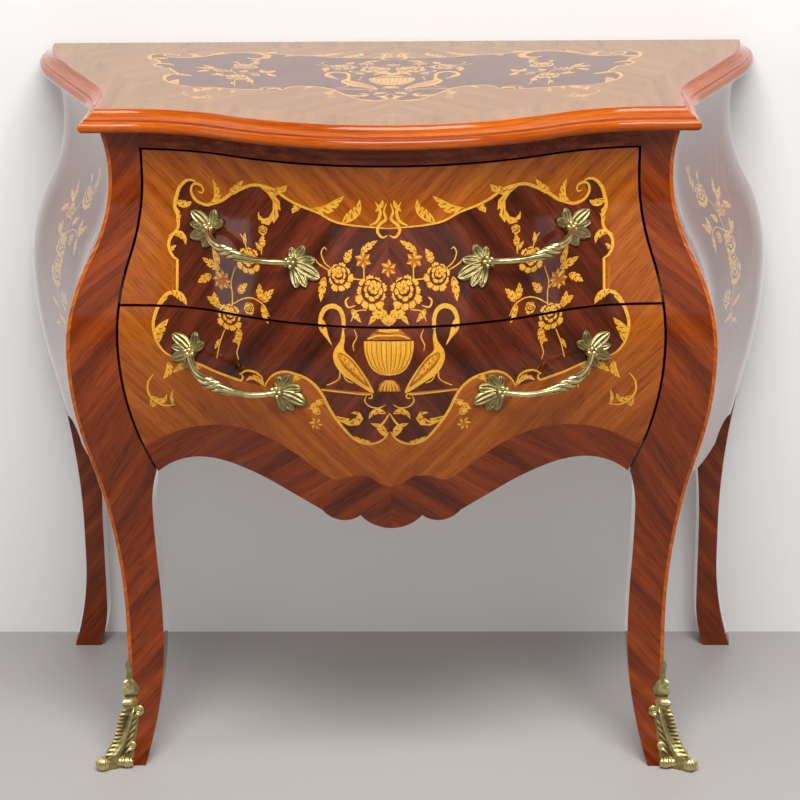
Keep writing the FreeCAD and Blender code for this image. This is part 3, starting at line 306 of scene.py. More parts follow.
def new_material(name, colour, roughness=0.5, metallic=0.0, coat=0.0, gloss=FRONT_GLOSS):
    """A material with a plain shader, whose values are set on its own sockets."""
    material = bpy.data.materials.new(name)
    material.use_nodes = True
    shader = material.node_tree.nodes["Principled BSDF"]
    shader.inputs["Base Color"].default_value = (*linear(colour), 1)
    shader.inputs["Roughness"].default_value = roughness
    shader.inputs["Metallic"].default_value = metallic
    shader.inputs["Coat Weight"].default_value = coat
    shader.inputs["Coat Roughness"].default_value = POLISH
    shader.inputs["Coat IOR"].default_value = gloss
    shader.inputs["Specular IOR Level"].default_value = 0 if coat else 0.3
    return material, shader


def linear(colour):
    """A screen colour of 0 to 255 as the linear values that Blender works in."""
    return [(c / 255 / 12.92) if c < 10 else ((c / 255 + 0.055) / 1.055) ** 2.4 for c in colour]


def ramp(tree, source, *stops):
    """A colour ramp through (position, colour) stops."""
    made = tree.nodes.new("ShaderNodeValToRGB")
    elements = made.color_ramp.elements
    while len(elements) < len(stops):
        elements.new(0.5)
    for element, (position, colour) in zip(elements, stops):
        element.position = position
        element.color = (*linear(colour), 1)
    tree.links.new(source, made.inputs["Fac"])
    return made.outputs["Color"]


def stretched_noise(tree, source, across, along, detail=4, distortion=0.0):
    """Noise whose features are so many metres across the grain and along it."""
    mapping = tree.nodes.new("ShaderNodeMapping")
    mapping.inputs["Scale"].default_value = [1 / size for size in (along, across, across)]
    tree.links.new(source, mapping.inputs["Vector"])
    noise = tree.nodes.new("ShaderNodeTexNoise")
    noise.inputs["Scale"].default_value = 1
    noise.inputs["Detail"].default_value = detail
    noise.inputs["Roughness"].default_value = 0.6
    noise.inputs["Distortion"].default_value = distortion
    tree.links.new(mapping.outputs["Vector"], noise.inputs["Vector"])
    return noise.outputs["Fac"]


def wood(name, dark, middle, light, stripe=0.006, length=0.35, roughness=0.42, coat=1,
         coordinate="UV", turn=(0, 0, 0), gloss=FRONT_GLOSS, pitted=0.6):
    """A polished veneer or a plain board, as bands of figure with darker pores over them."""
    material, shader = new_material(name, middle, roughness, coat=coat, gloss=gloss)
    tree = material.node_tree
    source = tree.nodes.new("ShaderNodeTexCoord").outputs[coordinate]
    turned = tree.nodes.new("ShaderNodeMapping")
    turned.inputs["Rotation"].default_value = turn
    tree.links.new(source, turned.inputs["Vector"])
    source = turned.outputs["Vector"]
    figure = stretched_noise(tree, source, stripe, length, distortion=0.15)
    colour = ramp(tree, figure, (0.3, dark), (0.5, middle), (0.68, light))
    pores = stretched_noise(tree, source, stripe / 9, length / 14, detail=2)
    shade = ramp(tree, pores, (0.3, (150, 150, 150)), (0.52, (255, 255, 255)))
    mix = tree.nodes.new("ShaderNodeMix")
    mix.data_type = "RGBA"
    mix.blend_type = "MULTIPLY"
    mix.inputs["Factor"].default_value = pitted
    tree.links.new(colour, mix.inputs["A"])
    tree.links.new(shade, mix.inputs["B"])
    tree.links.new(mix.outputs["Result"], shader.inputs["Base Color"])
    return material


def metal(name, bright, dull, roughness):
    """Cast metal, brighter where it is rubbed and duller in patches."""
    material, shader = new_material(name, bright, roughness, metallic=1)
    tree = material.node_tree
    source = tree.nodes.new("ShaderNodeTexCoord").outputs["Object"]
    patches = stretched_noise(tree, source, 0.006, 0.006)
    colour = ramp(tree, patches, (0.35, dull), (0.6, bright))
    tree.links.new(colour, shader.inputs["Base Color"])
    return material


# %% [markdown]
# ## The finishes
# Tulipwood is the warm striped ground, and a darker rosewood fills the cartouche behind the
# flowers. Kingwood crossbands frame them. The flowers are boxwood, and one side of each leaf is
# scorched in hot sand, which gives the picture its light and shade. The tulipwood and rosewood of
# the top are painted paler and duller, a painted sheen for the pale room that the top mirrors. The
# sides carry the glossiest polish, so they mirror a pale room, and the top the least.

# %% The finishes
def inlay_woods(where, gloss):
    """Kingwood, boxwood and scorched boxwood, under a polish of this index of refraction."""
    return [
        wood(f"{where}_kingwood", (78, 27, 8), (117, 45, 12), (142, 62, 19), 0.018, gloss=gloss),
        wood(f"{where}_boxwood", (198, 136, 32), (220, 160, 50), (234, 178, 72), 0.002, 0.05,
             gloss=gloss),
        wood(f"{where}_scorched_boxwood", (126, 62, 12), (162, 88, 18), (194, 120, 32), 0.002,
             0.05, gloss=gloss)]


def veneers(where, gloss):
    """All the woods of one part of the chest: tulipwood, rosewood and the inlay woods."""
    return [
        wood(f"{where}_tulipwood", (134, 60, 12), (154, 78, 20), (174, 96, 30), 0.016, gloss=gloss),
        wood(f"{where}_rosewood", (50, 20, 12), (84, 34, 18), (114, 49, 27), 0.022, gloss=gloss),
        *inlay_woods(where, gloss)]


OAK_TONES = (150, 112, 70), (176, 136, 90), (196, 158, 110)
ALONG_Y_TURN = (0, 0, math.radians(90))
lacquer = wood("lacquered_moulding", (140, 50, 6), (178, 80, 12), (198, 98, 20), stripe=0.01,
               roughness=0.3)
edging = wood("leg_edge_banding", (146, 62, 12), (178, 84, 20), (200, 108, 32), stripe=0.005)
# Painted sheen: the top's tulipwood and rosewood are paler and duller than the front's, in place of
# the pale room that the top mirrors.
sheen_painted_tulipwood = wood("sheen_painted_tulipwood", (132, 82, 28), (148, 97, 38), (160, 108, 46),
                       stripe=0.02, gloss=TOP_GLOSS, pitted=0.15)
sheen_painted_rosewood = wood("sheen_painted_rosewood", (78, 30, 20), (94, 40, 28), (108, 50, 36),
                      stripe=0.022, gloss=TOP_GLOSS, pitted=0.2)
oak = wood("oak", *OAK_TONES, stripe=0.004, roughness=0.6, coat=0)
oak_along_x = wood("oak_along_x", *OAK_TONES, stripe=0.004, roughness=0.6, coat=0,
                   coordinate="Object")
oak_along_y = wood("oak_along_y", *OAK_TONES, stripe=0.004, roughness=0.6, coat=0,
                   coordinate="Object", turn=ALONG_Y_TURN)
pine_along_x = wood("pine_along_x", (176, 136, 86), (204, 168, 114), (220, 188, 136),
                    stripe=0.012, roughness=0.65, coat=0, coordinate="Object")
brass = metal("antique_brass", (168, 154, 106), (138, 122, 78), 0.44)
rubbed = metal("rubbed_brass", (212, 198, 142), (188, 172, 116), 0.28)
tarnish = metal("tarnished_brass", (112, 95, 58), (84, 70, 42), 0.5)
iron = metal("iron", (92, 90, 88), (60, 58, 56), 0.55)
TULIP, ROSE, KING, BOX, SCORCH, OAK, LACQUER, EDGE = range(8)
VENEERS = veneers("front", FRONT_GLOSS) + [oak, lacquer, edging]
SIDE_VENEERS = veneers("side", SIDE_GLOSS) + [oak]
TOP_VENEERS = [sheen_painted_tulipwood, sheen_painted_rosewood] + inlay_woods("top", TOP_GLOSS) + [oak]
print(len(bpy.data.materials), "materials")

# %% [markdown]
# ## Cutting marquetry
# A marquetry cutter saws every piece of veneer to its own outline and glues them all down as one
# flush sheet. Here a picture is a list of shapes, each with its outline, its wood and the way its
# grain runs. A constrained Delaunay triangulation cuts the sheet along all those outlines at once,
# and each triangle takes the wood of the last shape that covers it.

# %% Shapes of the marquetry
def smooth(points, steps=6, closed=False):
    """A Catmull-Rom curve through the points: each stretch is a cubic led by its neighbours."""
    points = np.asarray(points, float)
    if closed:
        around = np.concatenate([points[-1:], points, points[:2]])
    else:
        first, last = 2 * points[0] - points[1], 2 * points[-1] - points[-2]
        around = np.concatenate([[first], points, [last]])
    before, here, after, beyond = around[:-3], around[1:-2], around[2:-1], around[3:]
    t = np.linspace(0, 1, steps, endpoint=False)[:, None, None]
    curve = 0.5 * (2 * here + (after - before) * t
                   + (2 * before - 5 * here + 4 * after - beyond) * t ** 2
                   + (3 * here - before - 3 * after + beyond) * t ** 3)
    curve = curve.transpose(1, 0, 2).reshape(-1, 2)
    return curve if closed else np.concatenate([curve, points[-1:]])


def shape(outline, kind, grain=0.0):
    """One piece of veneer, as a list of one, so that pieces add up to a picture."""
    return [(np.asarray(outline, float), kind, grain)]


def ribbon(points, width, kind=BOX, swelling=0.0, steps=6, ends=0.35):
    """A line of inlay along a smooth curve, one small piece after another.

    Its width is width at the ends times ends, and swells towards its middle by a sine.
    """
    line = smooth(points, steps)
    run = np.gradient(line, axis=0)
    across = np.stack([-run[:, 1], run[:, 0]], -1)
    across /= np.maximum(np.linalg.norm(across, axis=1, keepdims=True), 1e-9)
    t = np.linspace(0, 1, len(line))
    half = width / 2 * (ends + (1 - ends) * np.sin(np.pi * t) ** 0.5)
    half = half[:, None] + swelling / 2 * np.sin(np.pi * t)[:, None]
    left, right = line + across * half, line - across * half
    angles = np.degrees(np.arctan2(run[:, 1], run[:, 0]))
    return [(np.stack([right[i], right[i + 1], left[i + 1], left[i]]), kind, angles[i])
            for i in range(len(line) - 1)]


def leaf(root, tip, width, bend=0.0):
    """A plain pointed leaf in two halves along its rib, one of them scorched.

    Its half width is a sine of the way along it. bend moves its middle sideways.
    """
    root, tip = np.asarray(root, float), np.asarray(tip, float)
    run = tip - root
    across = np.array([-run[1], run[0]]) / np.linalg.norm(run)
    t = np.linspace(0, 1, 9)
    rib = root + run * t[:, None] + across * (bend * np.sin(np.pi * t))[:, None]
    half = (width / 2 * np.sin(np.pi * t ** 0.8))[:, None] * across
    grain = math.degrees(math.atan2(run[1], run[0]))
    light = np.concatenate([rib, (rib + half)[-2:0:-1]])
    dark = np.concatenate([rib, (rib - half)[-2:0:-1]])
    return shape(light, BOX, grain + 12) + shape(dark, SCORCH, grain - 12)


def acanthus(rib, width, lobes=3, back=1.0):
    """A leaf along a smooth rib, with pointed lobes that lean towards its tip.

    Its half width is a sine of the way along it, and falls back at each notch. The side to the
    left of the rib is width wide. The other has back times that, with a plain edge if back is
    small. A scorched wedge shades the foot of every lobe.
    """
    line = smooth(rib, 6)
    t = np.linspace(0, 1, len(line))
    run = np.gradient(line, axis=0)
    across = np.stack([-run[:, 1], run[:, 0]], -1) / np.linalg.norm(run, axis=1, keepdims=True)

    def beside(share, side, depth):
        """Points beside the rib, at these shares of the way along it and of the half width."""
        at = np.stack([np.interp(share, t, column) for column in (*line.T, *across.T)], -1)
        reach = side * width * depth * np.sin(np.pi * (0.15 + 0.85 * np.minimum(share, 1)))
        return at[:, :2] + at[:, 2:] * reach[:, None]

    number = np.arange(lobes)[:, None]
    share = (0.92 * (number + [0, 0.45, 1.08]) / lobes).ravel()
    depth = np.tile([0.42, 0.92, 1], lobes)
    even = np.linspace(0.1, 0.9, 6)
    sides = [1, -back] if back > 0.5 else [1]
    far = beside(share, -back, depth) if back > 0.5 else beside(even, -back, 1 + 0 * even)
    outline = np.concatenate([line[:1], beside(share, 1, depth), line[-1:], far[::-1]])
    grain = math.degrees(math.atan2(*(line[-1] - line[0])[::-1]))
    shapes = shape(outline, BOX, grain)
    for side in sides:
        for foot in range(lobes):
            at = 0.92 * (foot + np.array([0.05, 0.8, 0.42])) / lobes
            shapes += shape(beside(at, side, np.array([0, 0.78, 0])), SCORCH, grain)
    return shapes


def disc(centre, radius, kind, sides=10, grain=0.0):
    """A round piece, as a regular polygon."""
    turn = np.linspace(0, 2 * np.pi, sides, endpoint=False)
    return shape(np.asarray(centre) + radius * np.stack([np.cos(turn), np.sin(turn)], -1), kind,
                 grain)


def petal(middle, turn, half, reach):
    """One petal of a flower: a fan with a scalloped rim, and a scorched line down one side."""
    u = np.linspace(-1, 1, 9)
    rim = reach * (0.78 + 0.22 * np.sqrt(1 - u ** 2)) * (0.95 + 0.05 * np.cos(3 * np.pi * u))
    turns = turn + u * half
    fan = middle + rim[:, None] * np.stack([np.cos(turns), np.sin(turns)], -1)
    shade = turn + half * np.array([-1, -0.45, -1])
    reaches = reach * np.array([0.3, 0.62, 0.86])
    wedge = middle + reaches[:, None] * np.stack([np.cos(shade), np.sin(shade)], -1)
    grain = math.degrees(turn)
    return (shape(np.concatenate([[middle], fan]), BOX, grain)
            + shape(wedge, SCORCH, grain))


def flower(centre, radius, lean=90.0, petals=8):
    """A full flower that opens towards lean: rings of petals with shade between them.

    Each ring is smaller than the last and moved towards lean, so the outer petals show most on
    the other side, as on a cup that is seen from a little above.
    """
    centre = np.asarray(centre, float)
    out = np.array([math.cos(math.radians(lean)), math.sin(math.radians(lean))])
    shapes = []
    for ring, (size, shift) in enumerate(((1.0, 0), (0.6, 0.2), (0.32, 0.3))):
        middle = centre + out * shift * radius
        if ring:
            shapes += disc(centre + out * 0.7 * shift * radius, radius * size * 1.16, ROSE, 14)
        count = petals - 2 * ring
        for number in range(count):
            turn = math.radians(lean) + 2 * math.pi * (number + ring / 2) / count
            reach = radius * size * (1 + 0.08 * math.sin(2.4 * number))
            shapes += petal(middle, turn, math.pi / count, reach)
    return shapes + disc(centre + out * 0.3 * radius, radius * 0.1, SCORCH, 8)


def star(centre, radius, points=6, turn=90.0):
    """A small open flower of pointed petals."""
    shapes = []
    for number in range(points):
        angle = math.radians(turn + 360 * number / points)
        tip = np.asarray(centre) + radius * np.array([math.cos(angle), math.sin(angle)])
        shapes += leaf(centre, tip, radius * 0.62)
    return shapes + disc(centre, radius * 0.2, SCORCH, 8)


def spray(stem, leaves, width=1.3):
    """A thin stem, and lobed leaves given as (root, tip, width)."""
    shapes = ribbon(stem, width, BOX, ends=0.7, steps=4)
    for root, tip, size in leaves:
        middle = (np.asarray(root) + tip) / 2 + (0.1 * size, 0)
        shapes += acanthus([root, middle, tip], size / 2, 3 if size > 6 else 2)
    return shapes


def both_sides(shapes):
    """The shapes and their mirror images about the middle."""
    return shapes + [(outline[::-1] * (-1, 1), kind, 180 - grain)
                     for outline, kind, grain in shapes]


# %% [markdown]
# ## The picture
# The design is one cartouche over both drawers: scrolls round a dark field, an urn of flowers on a
# little platform with a long-necked bird on either side, and a spray of blossom beyond each bird.
# It is drawn for the right half only, in millimetres from the middle and from the floor. The top
# repeats it, and the sides have a spray of their own.

# %% The cartouche
TOP_LINE = [(0, 672), (20, 673.5), (45, 675.5), (61.5, 679), (78, 687), (98, 693), (111.5, 699),
            (125, 707), (136.5, 710), (150, 710), (161.5, 705), (175, 697), (186.5, 688),
            (198, 683), (205, 681), (215, 683.5), (221, 690), (222, 697)]
SIDE_LINE = [(215, 706), (225, 705), (233, 698.5), (237, 690), (240, 682), (239, 673.5),
             (236, 665), (238, 655), (245, 647), (249, 638.5), (248, 630), (245, 624),
             (239, 620)]
LOWER_SIDE = [(240, 588.5), (251.5, 584), (260, 575), (265, 562), (265.7, 550), (263, 537),
              (256.5, 527), (248, 520)]
LOWER_LINE = [(248, 520), (232, 516.5), (216, 513.5), (195, 507), (167, 503)]
FOOT_LINE = [(137.5, 500), (135, 508.5), (126.5, 517), (115, 521), (101.5, 519), (90, 515),
             (80, 507), (73, 497), (66.5, 483.5), (58, 470), (50, 457), (40, 448.5), (25, 443.5),
             (10, 449), (0, 456)]


def dark_field():
    """The rosewood ground of the right half, inside its scrolls."""
    outline = np.concatenate([smooth(TOP_LINE)[:-6], smooth(SIDE_LINE), [(239, 590)],
                              smooth(LOWER_SIDE), smooth(LOWER_LINE)[1:], smooth(FOOT_LINE)])
    return shape(outline, ROSE, -52)


def scrolls():
    """The lines that frame the field, with their volutes and acanthus leaves."""
    shapes = ribbon(TOP_LINE + [(219, 702), (212, 702.5), (208, 698), (209.5, 693.5),
                                (214, 694.5)], 2.4, swelling=1.0)
    shapes += ribbon([(213, 701), (219, 706), (227, 705.5), (235, 698), (239, 688), (241.5, 676),
                      (238, 666), (238, 655), (243, 648.5), (249, 645)], 2.4, swelling=1.6)
    shapes += ribbon([(238, 646), (243, 647.5), (248, 641), (248.5, 633), (244, 625),
                      (237, 621)], 2.2, swelling=1.2)
    shapes += shape([(237.2, 590), (240.2, 590), (240.2, 621), (237.2, 621)], BOX, 90)
    shapes += shape([(243, 591), (245.4, 591), (245.4, 614), (243, 618)], SCORCH, 90)
    shapes += ribbon([(228, 577), (229.5, 583), (234, 588), (241, 589), (251.5, 586),
                      (260, 575), (265.7, 560), (266.5, 549), (263, 535), (255, 524),
                      (245, 518.5)], 2.2, swelling=1.6)
    shapes += ribbon([(248, 520), (232, 516.5), (216, 513.5), (195, 507), (172, 503), (166, 503),
                      (164, 508), (168, 511)], 2.0, swelling=0.8)
    shapes += ribbon([(139, 500)] + FOOT_LINE[1:10] + [(41.5, 450), (28, 443.5), (16, 444),
                                                       (6, 450), (1, 458)], 2.2, swelling=1.0)
    for rib, width, lobes, back in (
            ([(50, 677), (38, 683), (31, 692), (31, 703)], -9, 4, 0.25),
            ([(84, 690), (69, 693), (58, 700), (48, 706)], 8, 4, 0.25),
            ([(126, 707), (118, 707), (111, 714)], 5, 2, 1.0),
            ([(97, 692), (103, 689), (106, 684)], 4, 2, 1.0),
            ([(141, 708), (128, 701), (125, 690), (128, 679), (136, 673), (143, 676), (144, 682)],
             -6.5, 5, 0.35),
            ([(177, 698), (170, 703), (161, 714)], 5, 3, 0.8),
            ([(200, 683), (194, 690), (194, 700), (197, 710)], 6, 4, 0.3),
            ([(240, 683), (234, 678), (226, 679), (222, 683)], -6, 3, 0.4),
            ([(240, 660), (238, 668), (240, 676)], 4, 2, 0.3),
            ([(243, 647), (236, 649), (230, 644), (229, 637)], 5, 3, 0.5),
            ([(247, 630), (244, 634), (240, 636)], 3, 2, 0.6),
            ([(246, 590), (238, 589), (231, 583), (228, 577)], 6, 4, 0.3),
            ([(250, 584), (256, 579), (262, 568)], 4, 2, 0.5),
            ([(262, 534), (263, 545), (257, 553), (249, 561)], 8, 4, 0.45),
            ([(140, 501), (145, 506), (153, 508), (161, 503)], 5, 3, 0.4),
            ([(60, 474), (48, 467), (36, 467), (31, 474), (36, 481), (43, 479)], -7, 4, 0.35),
            ([(4, 452), (6, 461), (12, 466), (21, 468)], -7, 4, 0.3),
            ([(20, 443), (30, 445), (40, 452)], 4, 3, 0.5),
            ([(70, 492), (80, 488), (90, 480)], 4, 2, 0.8),
            ([(96, 518), (104, 514), (112, 506)], 3.5, 2, 0.8),
            ([(212, 512), (220, 506), (222, 498)], 4, 2, 0.6),
            ([(4, 480), (12, 484), (20, 480), (23, 473)], -5, 3, 0.4)):
        shapes += acanthus(rib, width, lobes, back)
    shapes += ribbon([(141, 503), (142.5, 511), (150, 515.5), (160, 515), (168, 509)], 1.8,
                     swelling=0.8)
    shapes += ribbon([(14, 690), (8, 696), (6, 702)], 2, swelling=2.4)
    shapes += ribbon([(21, 675), (12, 680), (9, 690), (14, 700)], 2, swelling=1.4)
    shapes += ribbon([(2, 699), (5, 690), (3, 682), (10, 676), (12, 669), (7, 663), (1, 665)],
                     2.2, swelling=1.2)
    shapes += ribbon([(0, 480), (6, 470), (12, 462), (8, 455), (3, 453)], 1.8, swelling=1)
    return shapes


def ground_motifs():
    """Small leaves and flowers on the ground outside the cartouche."""
    shapes = star((82, 464), 8, 6, 60)
    shapes += ribbon([(268, 498), (275, 488), (276, 476), (270, 466), (258, 460), (245, 462)],
                     1.6, swelling=0.8)
    for rib, width, lobes, back in (
            ([(251, 512), (252, 502), (258, 492)], -6, 3, 0.4),
            ([(272, 470), (265, 464), (257, 466), (254, 474)], -5, 3, 0.4),
            ([(266, 464), (272, 458), (274, 468)], 3.5, 2, 0.6),
            ([(248, 462), (250, 470), (247, 480)], 3, 2, 0.4),
            ([(77, 476), (83, 481), (87, 487)], 5, 2, 1.0),
            ([(226, 512), (236, 508), (246, 500)], 5, 3, 0.8),
            ([(200, 500), (208, 496), (211, 484)], -4, 2, 0.4)):
        shapes += acanthus(rib, width, lobes, back)
    return shapes


def bouquet():
    """Half of the flowers over the urn."""
    shapes = spray([(27, 605), (27, 640)], [((30, 648), (12, 660), 8)])
    shapes += spray([(30, 621), (46, 622)], [((47, 637), (40, 651), 9)])
    shapes += ribbon([(62, 630), (70, 636), (74, 645), (71, 651), (68, 649)], 1.4)
    shapes += spray([(64, 628), (76, 634), (82, 640)], [((70, 622), (74.5, 598), 9)])
    shapes += ribbon([(36, 596), (44, 594), (47, 600), (43, 604)], 1.6, swelling=0.6)
    shapes += spray([(24, 592), (36, 590), (41, 580)], [((40, 592), (30, 579), 7)])
    shapes += flower((53, 622.5), 14.5, 60, 9)
    shapes += flower((19, 608), 18, 120, 10)
    shapes += star((28, 640), 9.5, 6, 80)
    shapes += star((0, 632), 9, 6, 90)
    shapes += acanthus([(0, 577), (10, 588), (22, 577)], 7, 4, 0.7)
    return shapes + acanthus([(0, 576), (3, 584), (4, 592)], 4, 2)


def urn():
    """The right half of the gadrooned urn on its domed foot."""
    shapes = shape([(0, 575), (12, 575), (14, 571), (25, 561.5), (0, 561.5)], SCORCH, 10)
    shapes += shape([(0, 573), (11, 573), (11, 570), (0, 569)], BOX, 0)
    shapes += ribbon([(0, 566), (12, 566), (23, 562.5)], 1.8, BOX, steps=3, ends=0.9)
    bowl = smooth([(27, 560), (27, 554), (25, 543), (19.5, 531.5), (11, 525), (0, 523)], 4)
    shapes += shape(np.concatenate([[(0, 560)], bowl]), BOX, 90)
    for number in range(5):
        share = (number + 0.5) / 5
        shapes += ribbon([(share * 26, 560), (share * 26.5, 548), (share * 20, 533),
                          (share * 9, 525)], 1.1, SCORCH, steps=2, ends=0.5)
    foot = smooth([(0, 518.5), (6, 517.5), (10.5, 513), (12.5, 505)], 4)
    shapes += shape(np.concatenate([foot, [(0, 505)]]), SCORCH, 0)
    for share in (0.12, 0.42, 0.75):
        shapes += ribbon([(share * 4, 517.5), (share * 11, 511), (share * 12.5, 505.5)], 1.8,
                         BOX, steps=2, ends=0.6)
    shapes += shape([(22, 500), (75, 503), (75, 506), (22, 503.5)], SCORCH, 3)
    shapes += ribbon([(75, 504.5), (50, 503), (28, 501.5), (20, 502), (19, 498), (23, 497)], 1.6,
                     steps=4, ends=0.8)
    return shapes + ribbon([(25, 500), (27, 494), (22, 488), (12, 486), (4, 490)], 1.6, steps=4)


def bird():
    """A long-necked bird that bends its head down outwards, its tail by the urn's foot."""
    body = shape(smooth([(50, 574), (53, 560), (60, 549), (60.5, 538), (53, 525), (37, 514),
                         (18, 503), (20, 512), (29, 527), (40, 541), (49, 550), (48, 562)],
                        4, closed=True), BOX, 50)
    wing = shape(smooth([(54, 547), (55, 540), (46, 528), (22, 509), (31, 527), (42, 541)], 4,
                        closed=True), SCORCH, 50)
    wing += acanthus([(54, 545), (42, 534), (26, 515)], 4, 5, 0.8)
    neck = ribbon([(49.5, 572), (49.5, 582), (53, 591), (61, 594.5), (70, 591), (74.5, 582),
                   (74, 575)], 4.4, BOX, swelling=0.4, ends=0.9)
    head = shape(smooth([(77, 579), (76, 570), (69, 562), (62, 554), (66, 564), (69, 576),
                         (73, 581)], 3, closed=True), BOX, 60)
    head += disc((72.5, 572), 1.5, SCORCH, 6)
    feet = ribbon([(51, 525), (47, 517), (40, 514)], 1.4, BOX, steps=3, ends=0.8)
    feet += ribbon([(54, 526), (55, 518), (64, 512), (69, 510)], 1.4, BOX, steps=3, ends=0.8)
    twig = ribbon([(38, 572), (35, 564), (39, 556), (38, 549)], 1.4, BOX, steps=3)
    return body + wing + neck + head + feet + twig


def right_spray():
    """The blossom beyond the bird."""
    shapes = spray([(178, 560), (175, 581), (174.5, 595), (176, 607), (171, 622)],
                   [((167, 597), (157, 608), 9), ((189, 617), (210, 626), 9)])
    shapes += spray([(176, 600), (182, 605), (188, 608), (196, 626), (198, 640)],
                    [((199, 610), (215, 601), 9), ((190, 622), (198, 640), 7)])
    shapes += spray([(175, 584), (162, 592), (150, 594), (138, 588.5), (132, 578)],
                    [((139, 592), (127, 606), 9), ((141, 594), (143, 610), 9),
                     ((140, 588), (133, 570), 7)])
    shapes += spray([(141, 638), (140.5, 652)], [((140, 646), (139, 658), 8),
                                                 ((141, 642), (148, 650), 5)])
    shapes += flower((139.5, 663), 5.5, 90, 6)
    shapes += spray([(158, 640), (161, 650), (166, 656)], [((160, 646), (160, 658), 5)])
    shapes += flower((156, 630), 14, 90, 9)
    shapes += spray([(184, 556), (190, 540), (194, 523)], [((189, 545), (196, 533), 5)])
    shapes += spray([(168, 556), (167, 545), (170, 534), (168, 526)],
                    [((166, 560), (168, 541), 9), ((168, 548), (175, 545), 5)])
    shapes += flower((178, 570), 15, 90, 9)
    shapes += flower((155, 583), 6.5, 60, 6)
    shapes += spray([(180, 578), (190, 582)], [((191, 578), (196, 594), 9),
                                               ((190, 582), (204, 588), 9)])
    return shapes + star((187, 607), 10.5, 8, 90)


PICTURE_WIDTH = 0.972


def picture():
    """All the shapes inside the ground, from the lowest up."""
    inner = bouquet() + right_spray() + bird() + urn()
    half = dark_field() + scrolls() + ground_motifs() + inner
    return both_sides([(outline * (PICTURE_WIDTH, 1), kind, grain)
                       for outline, kind, grain in half])


design = picture()
print(len(design), "pieces of veneer in the design")

# %% Cutting the sheet
TRIANGLES_INSIDE = 1
NEARNESS = 1e-4
LEAF_SHIFT = 7.3
RIM_WIDTH = 20


def counterclockwise(outline):
    """The outline in the turn that has its inside on the left, by the sign of its area."""
    x, y = outline.T
    area = np.sum(x * np.roll(y, -1) - y * np.roll(x, -1))
    return outline if area > 0 else outline[::-1]


def inlaid(outline, shapes, step=9.0):
    """Triangles of a sheet cut along every outline, with each triangle's last covering shape.

    A square lattice of spare points keeps the triangles small enough to follow the swell.
    """
    outline = np.asarray(outline, float)
    low, high = outline.min(0), outline.max(0)
    lattice = np.stack(np.meshgrid(np.arange(low[0] + step / 2, high[0], step),
                                   np.arange(low[1] + step / 2, high[1], step)), -1)
    outlines = [counterclockwise(item) for item in [outline] + [item[0] for item in shapes]]
    points = np.concatenate(outlines + [lattice.reshape(-1, 2)])
    starts = np.cumsum([0] + [len(item) for item in outlines])
    faces = [list(range(start, start + len(item))) for start, item in zip(starts, outlines)]
    vertices, _, cells, _, _, sources = delaunay_2d_cdt(
        [Vector(point) for point in points.tolist()], [], faces, TRIANGLES_INSIDE, NEARNESS, True)
    kept = [(cell, max(source)) for cell, source in zip(cells, sources) if 0 in source]
    triangles = np.array([cell for cell, _ in kept])
    used, triangles = np.unique(triangles, return_inverse=True)
    cut = np.array([tuple(point) for point in vertices])[used]
    return cut, triangles.reshape(-1, 3), np.array([source for _, source in kept])


def veneered(outline, shapes, surface, inner, rim_kind, back_kind, step=9.0):
    """A closed board: the inlaid sheet in front, its copy on the inner surface, and a rim.

    The shapes start with the ones that cover the whole outline. Each piece takes its grain from
    another place in its wood, and the left half of a symmetrical sheet mirrors the right one.
    """
    flat, triangles, source = inlaid(outline, shapes, step)
    a, b = flat[:, 0], flat[:, 1]
    count = len(flat)
    outer_points, inner_points = surface(a, b), inner(a, b)
    directed = np.concatenate([triangles[:, [0, 1]], triangles[:, [1, 2]], triangles[:, [2, 0]]])
    there, back_again = directed @ (count, 1), directed @ (1, count)
    rim = directed[~np.isin(there, back_again)]
    rim_faces = np.stack([rim[:, 1], rim[:, 0], rim[:, 0] + count, rim[:, 1] + count], 1)
    kinds = np.array([OAK] + [kind for _, kind, _ in shapes])[source]
    grains = np.array([0.0] + [grain for _, _, grain in shapes])[source]
    symmetrical = outline_is_symmetrical(outline)
    at = np.stack([np.abs(a) if symmetrical else a, b], -1)[triangles]
    left = (flat[triangles].mean(1)[:, 0] < 0) & symmetrical
    grains = np.where(left, 180 - grains, grains)[:, None]
    uv = turned_uv(at[..., 0], at[..., 1], grains) + source[:, None, None] * LEAF_SHIFT
    normal = normals_of(surface, a, b)
    rim_points = np.concatenate([outer_points, inner_points])[rim_faces]
    rim_normal = np.cross(rim_points[:, 1] - rim_points[:, 0], rim_points[:, 3] - rim_points[:, 0])
    rim_normal /= np.maximum(np.linalg.norm(rim_normal, axis=1, keepdims=True), 1e-9)
    back_faces = triangles[:, ::-1] + count
    back_uv = flat[triangles[:, ::-1]]
    rim_uv = np.stack([flat[rim_faces[:, 0]], flat[rim_faces[:, 1]], flat[rim_faces[:, 1]],
                       flat[rim_faces[:, 0]]], 1)
    rim_uv[:, 2:] += RIM_WIDTH
    return dict(
        points=np.concatenate([outer_points, inner_points]),
        faces=triangles.tolist() + back_faces.tolist() + rim_faces.tolist(),
        uv=np.concatenate([uv.reshape(-1, 2), back_uv.reshape(-1, 2), rim_uv.reshape(-1, 2)]),
        kinds=np.concatenate([kinds, np.full(len(triangles), back_kind),
                              np.full(len(rim), rim_kind)]),
        normals=np.concatenate([normal[triangles].reshape(-1, 3),
                                -normal[triangles[:, ::-1]].reshape(-1, 3),
                                np.repeat(rim_normal, 4, axis=0)]))


def outline_is_symmetrical(outline):
    """True for a sheet that has its middle at zero."""
    return abs(np.min(outline[:, 0]) + np.max(outline[:, 0])) < 1


def halves(kind, grain, reach=2000):
    """Two leaves of one veneer, book-matched about the middle line."""
    right = [(0, -reach), (reach, -reach), (reach, reach), (0, reach)]
    return both_sides(shape(right, kind, grain))


